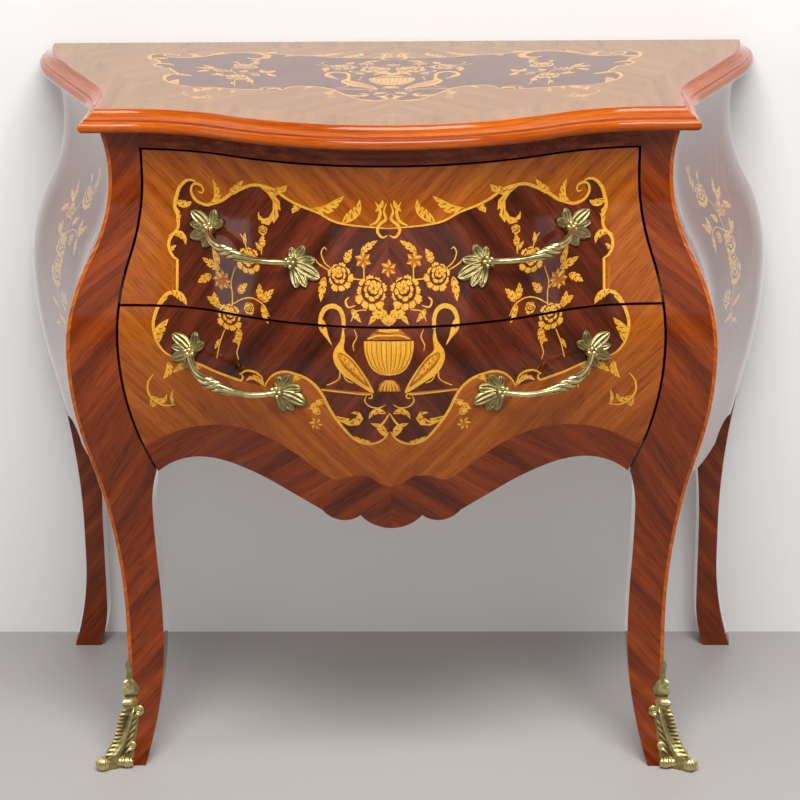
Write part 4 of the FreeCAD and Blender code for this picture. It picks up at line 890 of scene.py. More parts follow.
def arc_through(start, middle, end, count):
    """Points on the circle through three points, from the first to the last."""
    a, b, c = (complex(*point) for point in (start, middle, end))
    w = (c - a) / (b - a)
    centre = a + (b - a) * (w - abs(w) ** 2) / (2j * w.imag) if w.imag else None
    first, last = np.angle(a - centre), np.angle(c - centre)
    turn = (last - first + 2 * np.pi) % (2 * np.pi)
    if (np.angle(b - centre) - first + 2 * np.pi) % (2 * np.pi) > turn:
        turn -= 2 * np.pi
    at = centre + abs(a - centre) * np.exp(1j * (first + np.linspace(0, turn, count)))
    return np.stack([at.real, at.imag], -1)


# %% [markdown]
# ## The drawer fronts
# Each front is built up of thick staves, sawn and planed to the swell, and then veneered. The
# grain of the ground meets at the middle in a V, as two leaves from one log opened like a book.

# %% The drawer fronts
LEVEL_REACH = 260
LEVEL_STEP = 8.0


def front_inner(x, z):
    """The inside of a drawer front, straight behind its surface."""
    return front(x, z) + (0, FRONT_THICKNESS, 0)


def upper_outline():
    """The upper front's outline, from the seam to the gap under the top rail."""
    low, high = SEAM + DRAWER_GAP / 2, OPENING_TOP - DRAWER_GAP
    z = np.linspace(low, high, 30)
    right = np.stack([leg_inner(z) - DRAWER_GAP, z], -1)
    return tidy_outline(right)


def tidy_outline(right):
    """A symmetrical outline from its right side, which runs from the lower edge up."""
    level = np.arange(-LEVEL_REACH, LEVEL_REACH + 1, LEVEL_STEP)
    top = np.stack([level[::-1], np.full(len(level), right[-1, 1])], -1)
    left = right[::-1] * (-1, 1)
    if abs(right[0, 0]) < 1:
        return np.concatenate([right, top, left[:-1]])
    bottom = np.stack([level, np.full(len(level), right[0, 1])], -1)
    return np.concatenate([right, top, left, bottom])


NOTCH = (34, 351.4)
PENDANT = (0, 335.4)
LOBE, LOBE_END = (53, 343.7), (76, 355)
ARCH_START, ARCH_TOP = (122, 380), (201, 399.5)
APRON_END = (263.5, APRON_CORNER)


def apron_edge():
    """The scalloped lower edge of the lower drawer, from the middle to the right."""
    pendant = arc_through((-NOTCH[0], NOTCH[1]), PENDANT, NOTCH, 25)[12:]
    lobe = arc_through(NOTCH, LOBE, LOBE_END, 14)
    x = np.linspace(ARCH_START[0], ARCH_TOP[0], 14)
    rise = np.stack([x, level_arc(x, ARCH_TOP, ARCH_START)], -1)
    x = np.linspace(ARCH_TOP[0], APRON_END[0], 12)[1:]
    fall = np.stack([x, level_arc(x, ARCH_TOP, APRON_END)], -1)
    return np.concatenate([pendant, lobe[1:], rise, fall])


def lower_outline():
    """The lower front's outline: its apron, and the legs' inner edge up to the seam."""
    z = np.linspace(APRON_CORNER, SEAM - DRAWER_GAP / 2, 34)[1:]
    side = np.stack([leg_inner(z) - DRAWER_GAP, z], -1)
    return tidy_outline(np.concatenate([apron_edge(), side]))


BAND_LINE = [(0, 389), (12, 393), (25, 402), (42, 402), (60, 396), (75, 404), (90, 415),
             (101.5, 423.5), (115, 432), (128, 438.5), (145, 443.5), (161.5, 446), (178, 445),
             (195, 442.7), (211.5, 438.5), (228, 433.5), (245, 426), (262, 416), (285, 404)]


def apron_band():
    """The darker crossband along the lower edge, its grain meeting in an arch at the middle."""
    upper = smooth(BAND_LINE, 5)
    outline = np.concatenate([[(0, 300), (300, 300), (300, 400)], upper[::-1]])
    return both_sides(shape(outline, KING, -38))


grounds = halves(TULIP, 45)
# The rims of both drawer fronts are dark rosewood: painted shade that darkens the gap round each
# drawer.
upper_front = veneered(upper_outline(), grounds + design, front, front_inner, ROSE, OAK)
put_mesh("upper_drawer_marquetry_front", upper_front, VENEERS, "upper_drawer",
         ["upper_drawer_front"])
lower_front = veneered(lower_outline(), grounds + apron_band() + design, front, front_inner,
                       ROSE, OAK)
put_mesh("lower_drawer_marquetry_front", lower_front, VENEERS, "lower_drawer",
         ["lower_drawer_front"])
print("drawer fronts:", len(upper_front["faces"]), "and", len(lower_front["faces"]), "faces")

# %% [markdown]
# ## The legs
# A front leg is one thick square of wood, sawn to the swell in both directions and then veneered.
# Its front has no bow, and a paler band runs down its outer corner. The section changes with
# height, so the leg is a grid of sections.

# %% The legs
CORNER_ROUND = 2
ROUND_INSET = 0.6
BAND_WIDTH = 4.5
LEG_GRAIN = -50


def section_rows(z, stops, counts):
    """Each row's section as points between its stops, which are rows of (x, y) corners."""
    runs = []
    for start, end, count in zip(stops, stops[1:] + stops[:1], counts):
        share = np.linspace(0, 1, count, endpoint=False)[None, :, None]
        runs.append(start[:, None] * (1 - share) + end[:, None] * share)
    flat = np.concatenate(runs, axis=1)
    return np.concatenate([flat, np.broadcast_to(z[:, None, None], (*flat.shape[:2], 1))], -1)


def front_leg():
    """The right front leg: rows of sections, with a small round on the outer corner."""
    z = np.concatenate([np.linspace(0, APRON_CORNER, 60),
                        np.linspace(APRON_CORNER + 5, UNDERSIDE, 60)])
    out = swell(z)
    face, side, inside = NECK - out, ARRIS + out, leg_inner(z)
    heel = np.where(z <= APRON_CORNER, NECK + ARRIS - inside, LEG_BACK)
    inner_front = np.stack([inside, face], -1)
    corner_front = np.stack([side - CORNER_ROUND, face], -1)
    corner_side = np.stack([side, face + CORNER_ROUND], -1)
    outer_back = np.stack([side, heel], -1)
    inner_back = np.stack([inside, heel], -1)
    band_front = np.stack([side - BAND_WIDTH, face], -1)
    band_side = np.stack([side, face + BAND_WIDTH], -1)
    round_corner = np.stack([side - ROUND_INSET, face + ROUND_INSET], -1)
    stops = [inner_front, band_front, corner_front, round_corner, corner_side, band_side,
             outer_back, inner_back]
    counts = [9, 2, 1, 1, 2, 8, 3, 6]
    points = section_rows(z, stops, counts)
    kinds = np.repeat([KING, EDGE, EDGE, EDGE, EDGE, KING, KING, KING], counts)
    across = points[..., 0] + points[..., 1] - NECK
    across = np.column_stack([across, across[:, :1]])
    height = np.broadcast_to(z[:, None], across.shape)
    return tube(points, turned_uv(across, height, LEG_GRAIN), kinds[None])


REAR_INNER_FOOT = 62.5
REAR_TOE_WIDTH = 36
REAR_ANKLE_WIDTH = 27
REAR_THIGH_WIDTH = 35
REAR_SHIN_DEPTH = 36


def rear_leg():
    """The right rear leg: its outer side follows the swelling side, its back is flat."""
    z = np.linspace(0, UNDERSIDE, 110)
    neck_half = ARRIS + SIDE_FLARE
    ankle, thigh = neck_half - REAR_ANKLE_WIDTH, neck_half - REAR_THIGH_WIDTH
    toe = neck_half + FOOT_FLARE - REAR_TOE_WIDTH
    inside = np.select([z < REAR_INNER_FOOT, z < ANKLE, z < KNEE],
                       [level_arc(z, (REAR_INNER_FOOT, ankle), (0, toe)), np.full_like(z, ankle),
                        level_arcs(z, (ANKLE, ankle), (KNEE, thigh))], thigh)
    shin_line = BACK - REAR_SHIN_DEPTH
    shin = np.select([z < ANKLE, z < KNEE],
                     [np.full_like(z, shin_line),
                      level_arcs(z, (ANKLE, shin_line), (KNEE, REAR_LEG_FRONT))], REAR_LEG_FRONT)
    share = np.linspace(0, 1, 9)
    y = shin[:, None] + (BACK - shin[:, None]) * share
    outer = np.stack([ARRIS + swell(z)[:, None] + flare(y), y], -1)
    inner = np.stack([np.repeat(inside[:, None], 2, 1), np.stack([np.full_like(z, BACK), shin], 1)],
                     -1)
    flat = np.concatenate([outer, inner], 1)
    points = np.concatenate([flat, np.broadcast_to(z[:, None, None], (*flat.shape[:2], 1))], -1)
    across = points[..., 0] + points[..., 1]
    across = np.column_stack([across, across[:, :1]])
    height = np.broadcast_to(z[:, None], across.shape)
    return tube(points, turned_uv(across, height, LEG_GRAIN), KING)


right_legs = {"front": front_leg(), "rear": rear_leg()}
left_legs = {end: flipped(leg) for end, leg in right_legs.items()}
for side, legs in (("right", right_legs), ("left", left_legs)):
    for end, leg in legs.items():
        put_mesh(f"{end}_{side}_veneered_leg", leg, VENEERS, "case",
                 [f"{end}_{side}_leg"])
print("legs made")

# %% [markdown]
# ## The side panels
# They carry the swell along the flaring plan line of the sides, between the front and rear legs,
# with a scalloped lower edge. Their picture is a tall spray on plain kingwood: the blossom of the
# drawer fronts, a little larger, with more flowers below it.

# %% The side panels
PANEL_THICKNESS = 22
PANEL_MIDDLE = (LEG_BACK + REAR_LEG_FRONT) / 2
SPRIG_MIDDLE = (170, 590)
SPRIG_HEIGHT = 600
SPRIG_SCALE = 1.05


def side_inner(y, z):
    """The inside of the side panel, straight behind its surface."""
    return right_side(y, z) - (PANEL_THICKNESS, 0, 0)


def side_outline():
    """The panel's outline in depth and height, from its front lower corner round.

    Its lower edge slopes down from either leg, goes over a small arch to a notch, and hangs in a
    round lobe in the middle.
    """
    corner, slope_end = (LEG_BACK, APRON_CORNER), (PANEL_MIDDLE - 100, 331)
    notch, far_notch = (PANEL_MIDDLE - 55, 311), (PANEL_MIDDLE + 55, 311)
    on_slope = ((corner[0] + slope_end[0]) / 2 - 0.8, 351.2)
    on_arch, on_lobe = (PANEL_MIDDLE - 72.7, 332), (PANEL_MIDDLE, 300)
    left = np.concatenate([arc_through(corner, on_slope, slope_end, 6),
                           arc_through(slope_end, on_arch, notch, 12)[1:]])
    lobe = arc_through(notch, on_lobe, far_notch, 25)
    right = (left * (-1, 1) + (2 * PANEL_MIDDLE, 0))[::-1]
    z = np.linspace(APRON_CORNER, UNDERSIDE, 40)[1:]
    y = np.linspace(REAR_LEG_FRONT, LEG_BACK, 28)[1:-1]
    rear = np.stack([np.full_like(z, REAR_LEG_FRONT), z], -1)
    top = np.stack([y, np.full_like(y, UNDERSIDE)], -1)
    fore = np.stack([np.full_like(z, LEG_BACK), z[::-1]], -1)
    return np.concatenate([left, lobe[1:-1], right, rear, top, fore])


def side_picture():
    """A tall spray of flowers on kingwood."""
    ground = [(-500, -500), (900, -500), (900, 1500), (-500, 1500)]
    sprig = [((outline - SPRIG_MIDDLE) * SPRIG_SCALE + (PANEL_MIDDLE, SPRIG_HEIGHT), kind, grain)
             for outline, kind, grain in right_spray()]
    middle = PANEL_MIDDLE
    below = flower((middle + 8, 545), 18) + flower((middle - 22, 520), 12, 120)
    below += spray([(middle + 8, 540), (middle - 4, 510), (middle + 2, 478)],
                   [((middle, 505), (middle + 26, 512), 8), ((middle, 495), (middle - 26, 492), 8),
                    ((middle + 2, 488), (middle + 20, 478), 6)])
    return shape(ground, KING, 60) + sprig + below


side_panel = veneered(side_outline(), side_picture(), right_side, side_inner, KING, OAK, step=10)
put_pair("*_veneered_side", side_panel, SIDE_VENEERS, "case", "*_side_panel")
print("side panels:", len(side_panel["faces"]), "faces each")

# %% [markdown]
# ## The top and its moulding
# The moulding is planed in lengths, steamed or sawn to the plan line, and mitred at the front
# corners. Each length is its section, pushed outwards from the plan line of the case.

# %% The top
TOP_JOINT = 2
NOSE_RADIUS = 6.25
OVERHANG = 22
NOSE_MIDDLE = np.array([OVERHANG - NOSE_RADIUS, UNDERSIDE + NOSE_RADIUS])
QUIRK = [(16.1, 773.7), (16.0, 774)]
HOLLOW = [(16, 775.5), (10.6, 778.4), (6, 783.5)]
LIP = [(5.8, 784.4), (5.2, HEIGHT)]
GRAIN_END = 90
CROSSBAND = 36
PICTURE_DEPTH = 0.9586
PICTURE_FOOT = -80
TRUE_WIDTH_AT = 34
WIDENING = 0.002


def plan_offset(out):
    """The plan line of the front, moved outwards, from the middle to the right corner."""
    x = np.linspace(0, ARRIS, 60)
    slope = np.gradient(bow(x), x)
    length = np.hypot(1, slope)
    points = np.stack([x - out * slope / length, NECK - bow(x) - out / length], -1)
    points[-1, 0] += out
    return points


def side_offset(out):
    """The plan line of the right side, moved outwards, from the front corner to the back."""
    y = np.linspace(NECK, BACK, 50)
    slope = np.gradient(flare(y), y)
    length = np.hypot(1, slope)
    points = np.stack([ARRIS + flare(y) + out / length, y - out * slope / length], -1)
    points[0, 1] -= out
    points[-1] = (points[-1, 0], BACK)
    return points


def moulding_profile():
    """(outwards, height) round the section: nose, quirk, hollow, lip, and back under the joint."""
    turn = np.radians(np.linspace(-90, 90, 15))
    nose = NOSE_MIDDLE + NOSE_RADIUS * np.stack([np.cos(turn), np.sin(turn)], -1)
    joint = [(TOP_JOINT, HEIGHT), (TOP_JOINT, UNDERSIDE)]
    return np.concatenate([nose, QUIRK, arc_through(*HOLLOW, 7), LIP, joint])


def moulding(line):
    """A length of moulding along a plan line.

    Its texture runs along it and round its section, up to GRAIN_END where the section closes.
    """
    profile = moulding_profile()
    rows = np.stack([line(out) for out, _ in profile], 1)
    heights = np.broadcast_to(profile[None, :, 1:], (*rows.shape[:2], 1))
    points = np.concatenate([rows, heights], -1)
    along = np.concatenate([[0], np.cumsum(np.linalg.norm(np.diff(rows[:, 0], axis=0), axis=1))])
    round_it = np.cumsum(np.linalg.norm(np.diff(profile, axis=0), axis=1))
    girth = np.concatenate([[0], round_it, [GRAIN_END]])
    uv = np.stack(np.broadcast_arrays(along[:, None], girth[None]), -1)
    return tube(points, uv, LACQUER)


def front_line(out):
    """The whole plan line of the front, moved outwards, from left to right."""
    right = plan_offset(out)
    return np.concatenate([right[:0:-1] * (-1, 1), right])


def top_outline():
    """The outline of the top, inside its mouldings, from the middle of the front round."""
    right = np.concatenate([plan_offset(TOP_JOINT), side_offset(TOP_JOINT)[1:]])
    x = np.arange(390, -391, -10.0)
    back_edge = np.stack([x, np.full(len(x), BACK)], -1)
    return np.concatenate([right, back_edge, right[:0:-1] * (-1, 1)])


def top_design():
    """The cartouche again, its foot towards the front, inside a crossband.

    It is as deep as the panel allows, and it widens towards the back as the top does.
    """
    def band_edge(inset):
        """The right half of the top's outline, moved inwards."""
        right = np.concatenate([plan_offset(-inset), side_offset(-inset)[1:]])
        right = right[(right[:, 0] > 0) & (right[:, 1] < BACK - inset)]
        return np.concatenate([[(0, right[0, 1])], right, [(right[-1, 0], BACK - inset),
                                                           (0, BACK - inset)]])

    def on_top(outline):
        """An outline of the drawer fronts, laid down on the top."""
        y = (outline[:, 1] - FIELD_FOOT) * PICTURE_DEPTH + PICTURE_FOOT
        return np.stack([outline[:, 0] * (1 + WIDENING * (y - TRUE_WIDTH_AT)), y], -1)

    laid = [(on_top(outline), kind, grain) for outline, kind, grain in design]
    return halves(TULIP, 90) + both_sides(shape(band_edge(CROSSBAND), TULIP, -45)) + laid


put_mesh("front_lacquered_moulding", moulding(front_line), VENEERS, "case",
         ["top_front_moulding"], sharp=25)
put_pair("*_lacquered_moulding", moulding(side_offset), VENEERS, "case",
         "top_*_moulding", sharp=25)
top_sheet = veneered(top_outline(), top_design(), level_top,
                     lambda x, y: level_top(x, y) - (0, 0, HEIGHT - UNDERSIDE), OAK, OAK, step=14)
put_mesh("veneered_top", top_sheet, TOP_VENEERS, "case", ["top_panel"])
print("top:", len(top_sheet["faces"]), "faces")

# %% [markdown]
# ## The handles
# Each pull is cast brass: a bar like a drooping branch, thickest a little past its middle, between
# two sprays of leaves. It is fluted and twisted where it is thickest, and each end meets a cluster
# of berries on a post. The leaves lie on the swell of the drawer front, so they are drawn on the
# front's own surface and raised from it.

# %% The handles
METALS = [brass, tarnish, rubbed]
CAST, RECESS, RUBBED = range(len(METALS))
END_REACH = 11
HANDLE_REACH = 29
HANDLE_SAG = 14
LOWEST_SHARE = 0.6
POST_HEIGHTS = [-4, 1, 3, 5, 7, 9, 11, 12.5]
POST_RADII = [5.0, 5.2, 6.2, 6.6, 6.4, 5.8, 4.8, 3.0]
CROWN_HEIGHT, CROWN_RADIUS = 14.5, 3.0
BERRIES = 5
BERRY_RING, BERRY_HEIGHT, BERRY_RADIUS = 4.7, 12, 2.8


def unit(vector):
    """The vector at length one."""
    return vector / np.linalg.norm(vector)


def handle_frame(inner, outer):
    """The middle of a handle, its directions along the bar, up and outwards, and its span."""
    x, z = np.array([inner, outer], float).T
    feet = front(x, z)
    along = unit(feet[1] - feet[0])
    outwards = normals_of(front, x, z).sum(0)
    outwards = unit(outwards - along * (outwards @ along))
    axes = np.stack([along, np.cross(outwards, along), outwards])
    return feet.mean(0), axes, np.linalg.norm(feet[1] - feet[0])


def swept(path, radius, sides=16, kinds=0):
    """A round bar along a path, with a radius for every row, or for every row and side."""
    run = np.gradient(path, axis=0)
    run /= np.linalg.norm(run, axis=1, keepdims=True)
    across = np.cross(run, (0, 0, 1.0))
    flat = np.linalg.norm(across, axis=1) < 1e-6
    across[flat] = (1, 0, 0)
    across /= np.linalg.norm(across, axis=1, keepdims=True)
    up = np.cross(across, run)
    turn = np.linspace(0, 2 * np.pi, sides, endpoint=False)
    radius = np.asarray(radius, float).reshape(len(path), -1)
    ring = np.cos(turn)[None, :, None] * across[:, None] + np.sin(turn)[None, :, None] * up[:, None]
    points = path[:, None] + ring * radius[..., None]
    uv = np.stack(np.broadcast_arrays(np.arange(len(path))[:, None] * 3.0,
                                      np.arange(sides + 1)[None] * 2.0), -1)
    kinds = np.broadcast_to(kinds, (len(path) - 1, sides))
    return tube(points[:, ::-1], uv, kinds[:, ::-1])


def ball(centre, radius, count=9, sides=10, ribs=0):
    """A ball: a bar whose radius follows a half circle. ribs is how many upright ribs it has."""
    turn = np.linspace(0.04, np.pi - 0.04, count)
    path = np.asarray(centre) + np.stack([0 * turn, 0 * turn, -radius * np.cos(turn)], -1)
    around = np.linspace(0, 2 * np.pi, sides, endpoint=False)
    rib = 1 + 0.07 * np.cos(ribs * around) if ribs else np.ones(sides)
    return swept(path, radius * np.sin(turn)[:, None] * rib, sides, RUBBED)


def bar(span):
    """The bar in the handle's own frame: a droop of two arcs, fluted and twisted in the middle.

    It leaves the leaves steeply and stands off by a fourth power of the way from its middle.
    """
    x = np.linspace(-span / 2, span / 2, 100)
    lowest = span * (LOWEST_SHARE - 0.5)
    left = level_arc(x, (lowest, -HANDLE_SAG), (-span / 2, 0))
    right = level_arc(x, (lowest, -HANDLE_SAG), (span / 2, 0))
    stand = END_REACH + (HANDLE_REACH - END_REACH) * (1 - (2 * x / span) ** 4)
    path = np.stack([x, np.where(x < lowest, left, right), stand], -1)
    bulge = np.exp(-((x - lowest) / 20) ** 2)
    turn = np.linspace(0, 2 * np.pi, 42, endpoint=False)
    flutes = np.cos(5 * turn[None] + 9 * np.tanh((x[:, None] - lowest) / 12))
    depth = (0.05 + 0.13 * bulge)[:, None]
    kinds = np.where((flutes[:-1] < -0.75) & (bulge[:-1, None] > 0.02), RECESS, RUBBED)
    return swept(path, (3.1 + 2.9 * bulge)[:, None] * (1 + depth * flutes), 42, kinds)


def rosette_leaf(foot, angle, length, width):
    """A cast leaf on the drawer front: domed, grooved along its length, with its tip lifted.

    Along it t runs from root to tip, and across it s from one edge to the other. It widens by a
    sine to its broadest place and then closes as a rounded tip. Its height is a dome with a rib in
    the middle and one on either side, and the root stands higher, under the berries.
    """
    rows, columns = 30, 25
    t = np.linspace(0, 1, rows)[:, None]
    s = np.linspace(-1, 1, columns)[None]
    broadest = 0.56
    opening = 0.35 + 0.65 * np.sin(np.pi / 2 * np.minimum(t / broadest, 1))
    closing = np.maximum(1 - (np.maximum(t - broadest, 0) / (1 - broadest)) ** 2, 0) ** 0.62
    half = np.maximum(width / 2 * opening * closing, 0.3)
    along, across = t * length + 0 * s, s * half
    lift = 6.5 * (1 - t) ** 2 + 2.6 * t ** 2
    dome = (1 - s ** 2) ** 0.5 * np.clip((1 - t) * 6, 0.1, 1)
    ribs = np.cos(3 * np.pi * s) * np.clip((1 - t) * 5, 0, 1) * np.clip(t * 5, 0, 1)
    height = lift + 0.4 + 1.6 * dome + 0.75 * ribs
    turn = math.radians(angle)
    x = foot[0] + along * math.cos(turn) - across * math.sin(turn)
    z = foot[1] + along * math.sin(turn) + across * math.cos(turn)
    upper = raised(front, x, z, height)
    under = raised(front, x, z, lift - 1 + 0 * s)[:, ::-1][:, ::columns // 2]
    points = np.concatenate([upper, under], 1)
    groove = (ribs[:-1] < -0.8) & (np.abs(s) < 0.6)
    kinds = np.concatenate([groove, np.zeros((rows - 1, 3), bool)], 1)[:, ::-1] * RECESS
    uv = np.stack(np.broadcast_arrays(t * length, np.arange(columns + 4)[None] * 1.0), -1)
    return tube(points[:, ::-1], uv, kinds)


def in_frame(part, centre, axes):
    """A part drawn in a handle's own frame, put in its place."""
    return dict(part, points=part["points"] @ axes + centre)


def knuckle(x):
    """A cluster of berries on a turned post, in the handle's own frame."""
    count = len(POST_HEIGHTS)
    path = np.stack([np.full(count, x), np.zeros(count), POST_HEIGHTS], -1)
    parts = [swept(path, POST_RADII, 20), ball((x, 0, CROWN_HEIGHT), CROWN_RADIUS)]
    for number in range(BERRIES):
        turn = 2 * math.pi * (number + 0.25) / BERRIES
        place = (x + BERRY_RING * math.cos(turn), BERRY_RING * math.sin(turn), BERRY_HEIGHT)
        parts.append(ball(place, BERRY_RADIUS))
    return parts


OUTER_LEAVES = [(138, 17, 10), (99, 22, 11.5), (8, 25, 12), (-62, 22, 13), (36, 29, 16),
                (-24, 27, 15)]
INNER_LEAVES = [(84, 16, 10.5), (122, 22, 12), (168, 24, 13), (238, 26, 13), (262, 24, 13),
                (204, 31, 16)]
PULLS = {"upper_drawer": ((101, 633), (192, 656)), "lower_drawer": ((117, 500), (214, 528))}


def pull(inner, outer):
    """A whole pull on the right of a drawer, from where its two posts stand on the front.

    Each leaf is given by its angle, its length and its width.
    """
    centre, axes, span = handle_frame(inner, outer)
    drawn = [bar(span)] + knuckle(-span / 2) + knuckle(span / 2)
    parts = [in_frame(part, centre, axes) for part in drawn]
    for foot, leaves in ((inner, INNER_LEAVES), (outer, OUTER_LEAVES)):
        parts += [rosette_leaf(foot, *leaf_size) for leaf_size in leaves]
    return joined(parts)


for drawer, (inner, outer) in PULLS.items():
    made = pull(inner, outer)
    put_pair(f"{drawer}_*_pull", made, METALS, drawer, f"{drawer}_*_handle", sharp=60)
print("each pull has", len(made["faces"]), "faces")

# %% [markdown]
# ## The foot mounts
# A sabot is a gilt casting that protects the corner of the foot. It climbs the corner as a ribbed
# leaf with beads on its stem, has a pair of scrolls on either face, and ends at the toe in a roll
# with a ribbed ball. Its leaf is a sheet over the corner, raised by a sum of humps and ripples.

# %% The foot mounts
SABOT_TOP = 126
UPPER_CURL = (15, 66, 5.4)
LOWER_CURL = (14, 24, 4.4)
ROLL_REACH, ROLL_HEIGHT, ROLL_RADIUS = 21, 7.4, 5.0
BALL_REACH, BALL_HEIGHT, BALL_RADIUS = 14.0, 8.6, 8.4


def corner_surface(across, z, out):
    """A point on a front foot's outer corner: across is minus on the front face, plus on the side.

    out moves it away from both faces, fully at the corner and square to the face further along.
    """
    s = swell(z)
    near = np.exp(-(across / 5.0) ** 2)
    x = ARRIS + s + np.where(across < 0, across, 0) + out * np.where(across < 0, near, 1)
    y = NECK - s + np.where(across > 0, across, 0) - out * np.where(across > 0, near, 1)
    return np.stack([x, y, z + 0 * across], -1)


def bump(value, middle, reach):
    """A smooth hump round a middle, as a Gaussian."""
    return np.exp(-((value - middle) / reach) ** 2)


def sabot_leaf():
    """The sheet of the right sabot: a ribbed leaf that wraps the corner and narrows to a stem."""
    z = np.concatenate([np.linspace(0.4, 30, 34), np.linspace(31, SABOT_TOP, 96)])[:, None]
    columns = 61
    s = np.linspace(-1, 1, columns)[None]
    width = np.interp(z, [0, 10, 30, 55, 66, 72, 76, 81, 84, 92, 99, 104, SABOT_TOP],
                      [20, 20, 17, 16, 14, 12, 13, 9, 12, 13.5, 9, 4.5, 3])
    across = s * width
    toe = np.interp(z, [0, 8, 14, 20, 28, 40, 60, 70], [11, 13, 12, 9.5, 6.5, 5, 4, 0])
    body = np.clip((z - 12) / 6, 0, 1) * np.clip((70 - z) / 6, 0, 1)
    ridge = bump(np.abs(across), np.interp(z, [14, 66], [4, 9]), 1.5)
    rungs = (0.5 + 0.5 * np.cos(2 * np.pi * z / 4.4)) * bump(across, 0, 3)
    lobes = (0.5 + 0.5 * np.cos(2 * np.pi * (z - np.abs(across) * 0.9) / 8)) * bump(
        np.abs(across), 13, 3.5)
    relief = body * (2.8 * ridge + 1.6 * rungs + 1.9 * lobes)
    beads = (4.2 * bump(z, 92, 7) * bump(across, 0, 9) + 3.8 * bump(z, 75, 4) * bump(across, 0, 9)
             + 2.6 * bump(z, 101, 2.4) * bump(across, 0, 4) + 1.4 * bump(z, SABOT_TOP - 5, 4))
    seam = -1.4 * bump(z, 92, 12) * bump(across, -4, 1.2)
    out = 0.5 + (1 - s ** 4) * (1.6 + relief + beads + seam) + toe * bump(across, 0, 9)
    outer = corner_surface(across, z, out)
    inner = corner_surface(across, z, np.full_like(out, -0.6))
    points = np.concatenate([outer, inner[:, ::-1]], 1)
    uv = np.stack(np.broadcast_arrays(z, np.arange(2 * columns + 1)[None] * 1.0), -1)
    hollow = ((relief < 0.4) & (body > 0.4) & (np.abs(s) < 0.9)) | (bump(z, 83, 1.6) > 0.5)
    face = np.where(hollow[:-1], RECESS, np.where(relief[:-1] + beads[:-1] > 1.9, RUBBED, CAST))
    kinds = np.concatenate([face, np.full((len(z) - 1, columns), CAST)], 1)
    return tube(points, uv, kinds)


def sabot_curl(side, distance, height, radius):
    """A small scroll that stands off one face of the foot, at a distance from its corner."""
    turn = np.linspace(-0.3, 1.35, 30) * 2 * np.pi
    winding = np.linspace(radius, radius * 0.2, 30)
    across = side * (distance + winding * np.cos(turn))
    path = corner_surface(across, height + winding * np.sin(turn), 2.2 + 0 * turn)
    return swept(path, np.linspace(2.5, 1.6, 30), 12, RUBBED)


def sabot_toe():
    """The rolled foot of the sabot: a bolster along both faces, and a ribbed ball on the corner."""
    across = np.linspace(-ROLL_REACH, ROLL_REACH, 70)
    half = ROLL_RADIUS + 1.7 * bump(np.abs(across), 14, 5)
    path = corner_surface(across, ROLL_HEIGHT + 0 * across, 3.5 + half * 0.5)
    creases = 1 + 0.06 * np.cos(2 * np.pi * across / 3.2)
    corner = corner_surface(np.zeros(1), np.array([BALL_HEIGHT]), np.array([BALL_REACH]))[0]
    return [swept(path, half * creases, 16, RUBBED), ball(corner, BALL_RADIUS, 21, 48, 12)]


def sabot():
    """The whole right sabot."""
    curls = [sabot_curl(side, *curl) for curl in (UPPER_CURL, LOWER_CURL) for side in (-1, 1)]
    return joined([sabot_leaf()] + curls + sabot_toe())


made = sabot()
put_pair("*_gilt_sabot", made, METALS, "case", "*_sabot", sharp=60)
print("each sabot has", len(made["faces"]), "faces")

# %% [markdown]
# ## The pieces inside
# Runners, guides, drawer sides and the back keep the shapes that they already have, and only need
# their finishes: oak for the drawer boxes and what carries them, pine for the back, the boards and
# the hidden rails, iron for screws and bolts, and brass for the pins of the foot mounts. The rail
# above the drawers is veneered with kingwood.

# %% Finishes of the pieces inside
ALONG_Y = ("runner", "guide", "kicker", "_side")
PINE = ("back_panel", "dust_board", "bottom_board", "back_top_rail", "back_bottom_rail",
        "middle_back_rail", "middle_front_rail", "bottom_front_rail", "top_glue_blocks")
for name, item in nodes.items():
    if name in ("top_screws", "sabot_pins") or name.endswith("_bolts"):
        finish = brass if name == "sabot_pins" else iron
    elif name == "top_front_rail":
        finish = wood("kingwood_along_x", (84, 34, 18), (112, 48, 26), (140, 70, 38),
                      stripe=0.007, coordinate="Object")
    elif name in PINE:
        finish = pine_along_x
    elif any(word in name for word in ALONG_Y):
        finish = oak_along_y
    else:
        finish = oak_along_x
    item.data.materials.clear()
    item.data.materials.append(finish)
print("finishes given to", len(nodes), "nodes")

# %% [markdown]
# ## Floor, wall, light and camera
# The chest stands on a plain pale floor before a white wall. The wall is there for the camera and
# for reflections, and only from its front: light passes through it, and from behind it is clear,
# so the back of the chest can be seen too. The camera looks down at the chest from a little to the
# right of its middle, with a long lens. The strongest lamp hangs high in front of the chest. A
# wider, weaker one fills from further off, one lights the back, and two wash the wall, one from
# either side. Places in this section are in metres.

# %% Floor and wall
WALL = 0.24
GLOW = 0.11
MIRRORED_GLOW = 4
BACKGROUND = 0.9
DAYLIGHT = 0.14


def plain(name, points, colour, roughness):
    """Makes a flat backdrop, and returns its material's node tree and shader."""
    mesh = bpy.data.meshes.new(name)
    mesh.from_pydata(points, [], [(0, 1, 2, 3)])
    material, shader = new_material(name, colour, roughness)
    mesh.materials.append(material)
    item = bpy.data.objects.new(name, mesh)
    bpy.context.scene.collection.objects.link(item)
    return material.node_tree, shader


def reckoned(tree, operation, first, second):
    """The result of a sum in a material, of sockets or plain numbers."""
    made = tree.nodes.new("ShaderNodeMath")
    made.operation = operation
    for socket, value in zip(made.inputs, (first, second)):
        if isinstance(value, bpy.types.NodeSocket):
            tree.links.new(value, socket)
        else:
            socket.default_value = value
    return made.outputs[0]


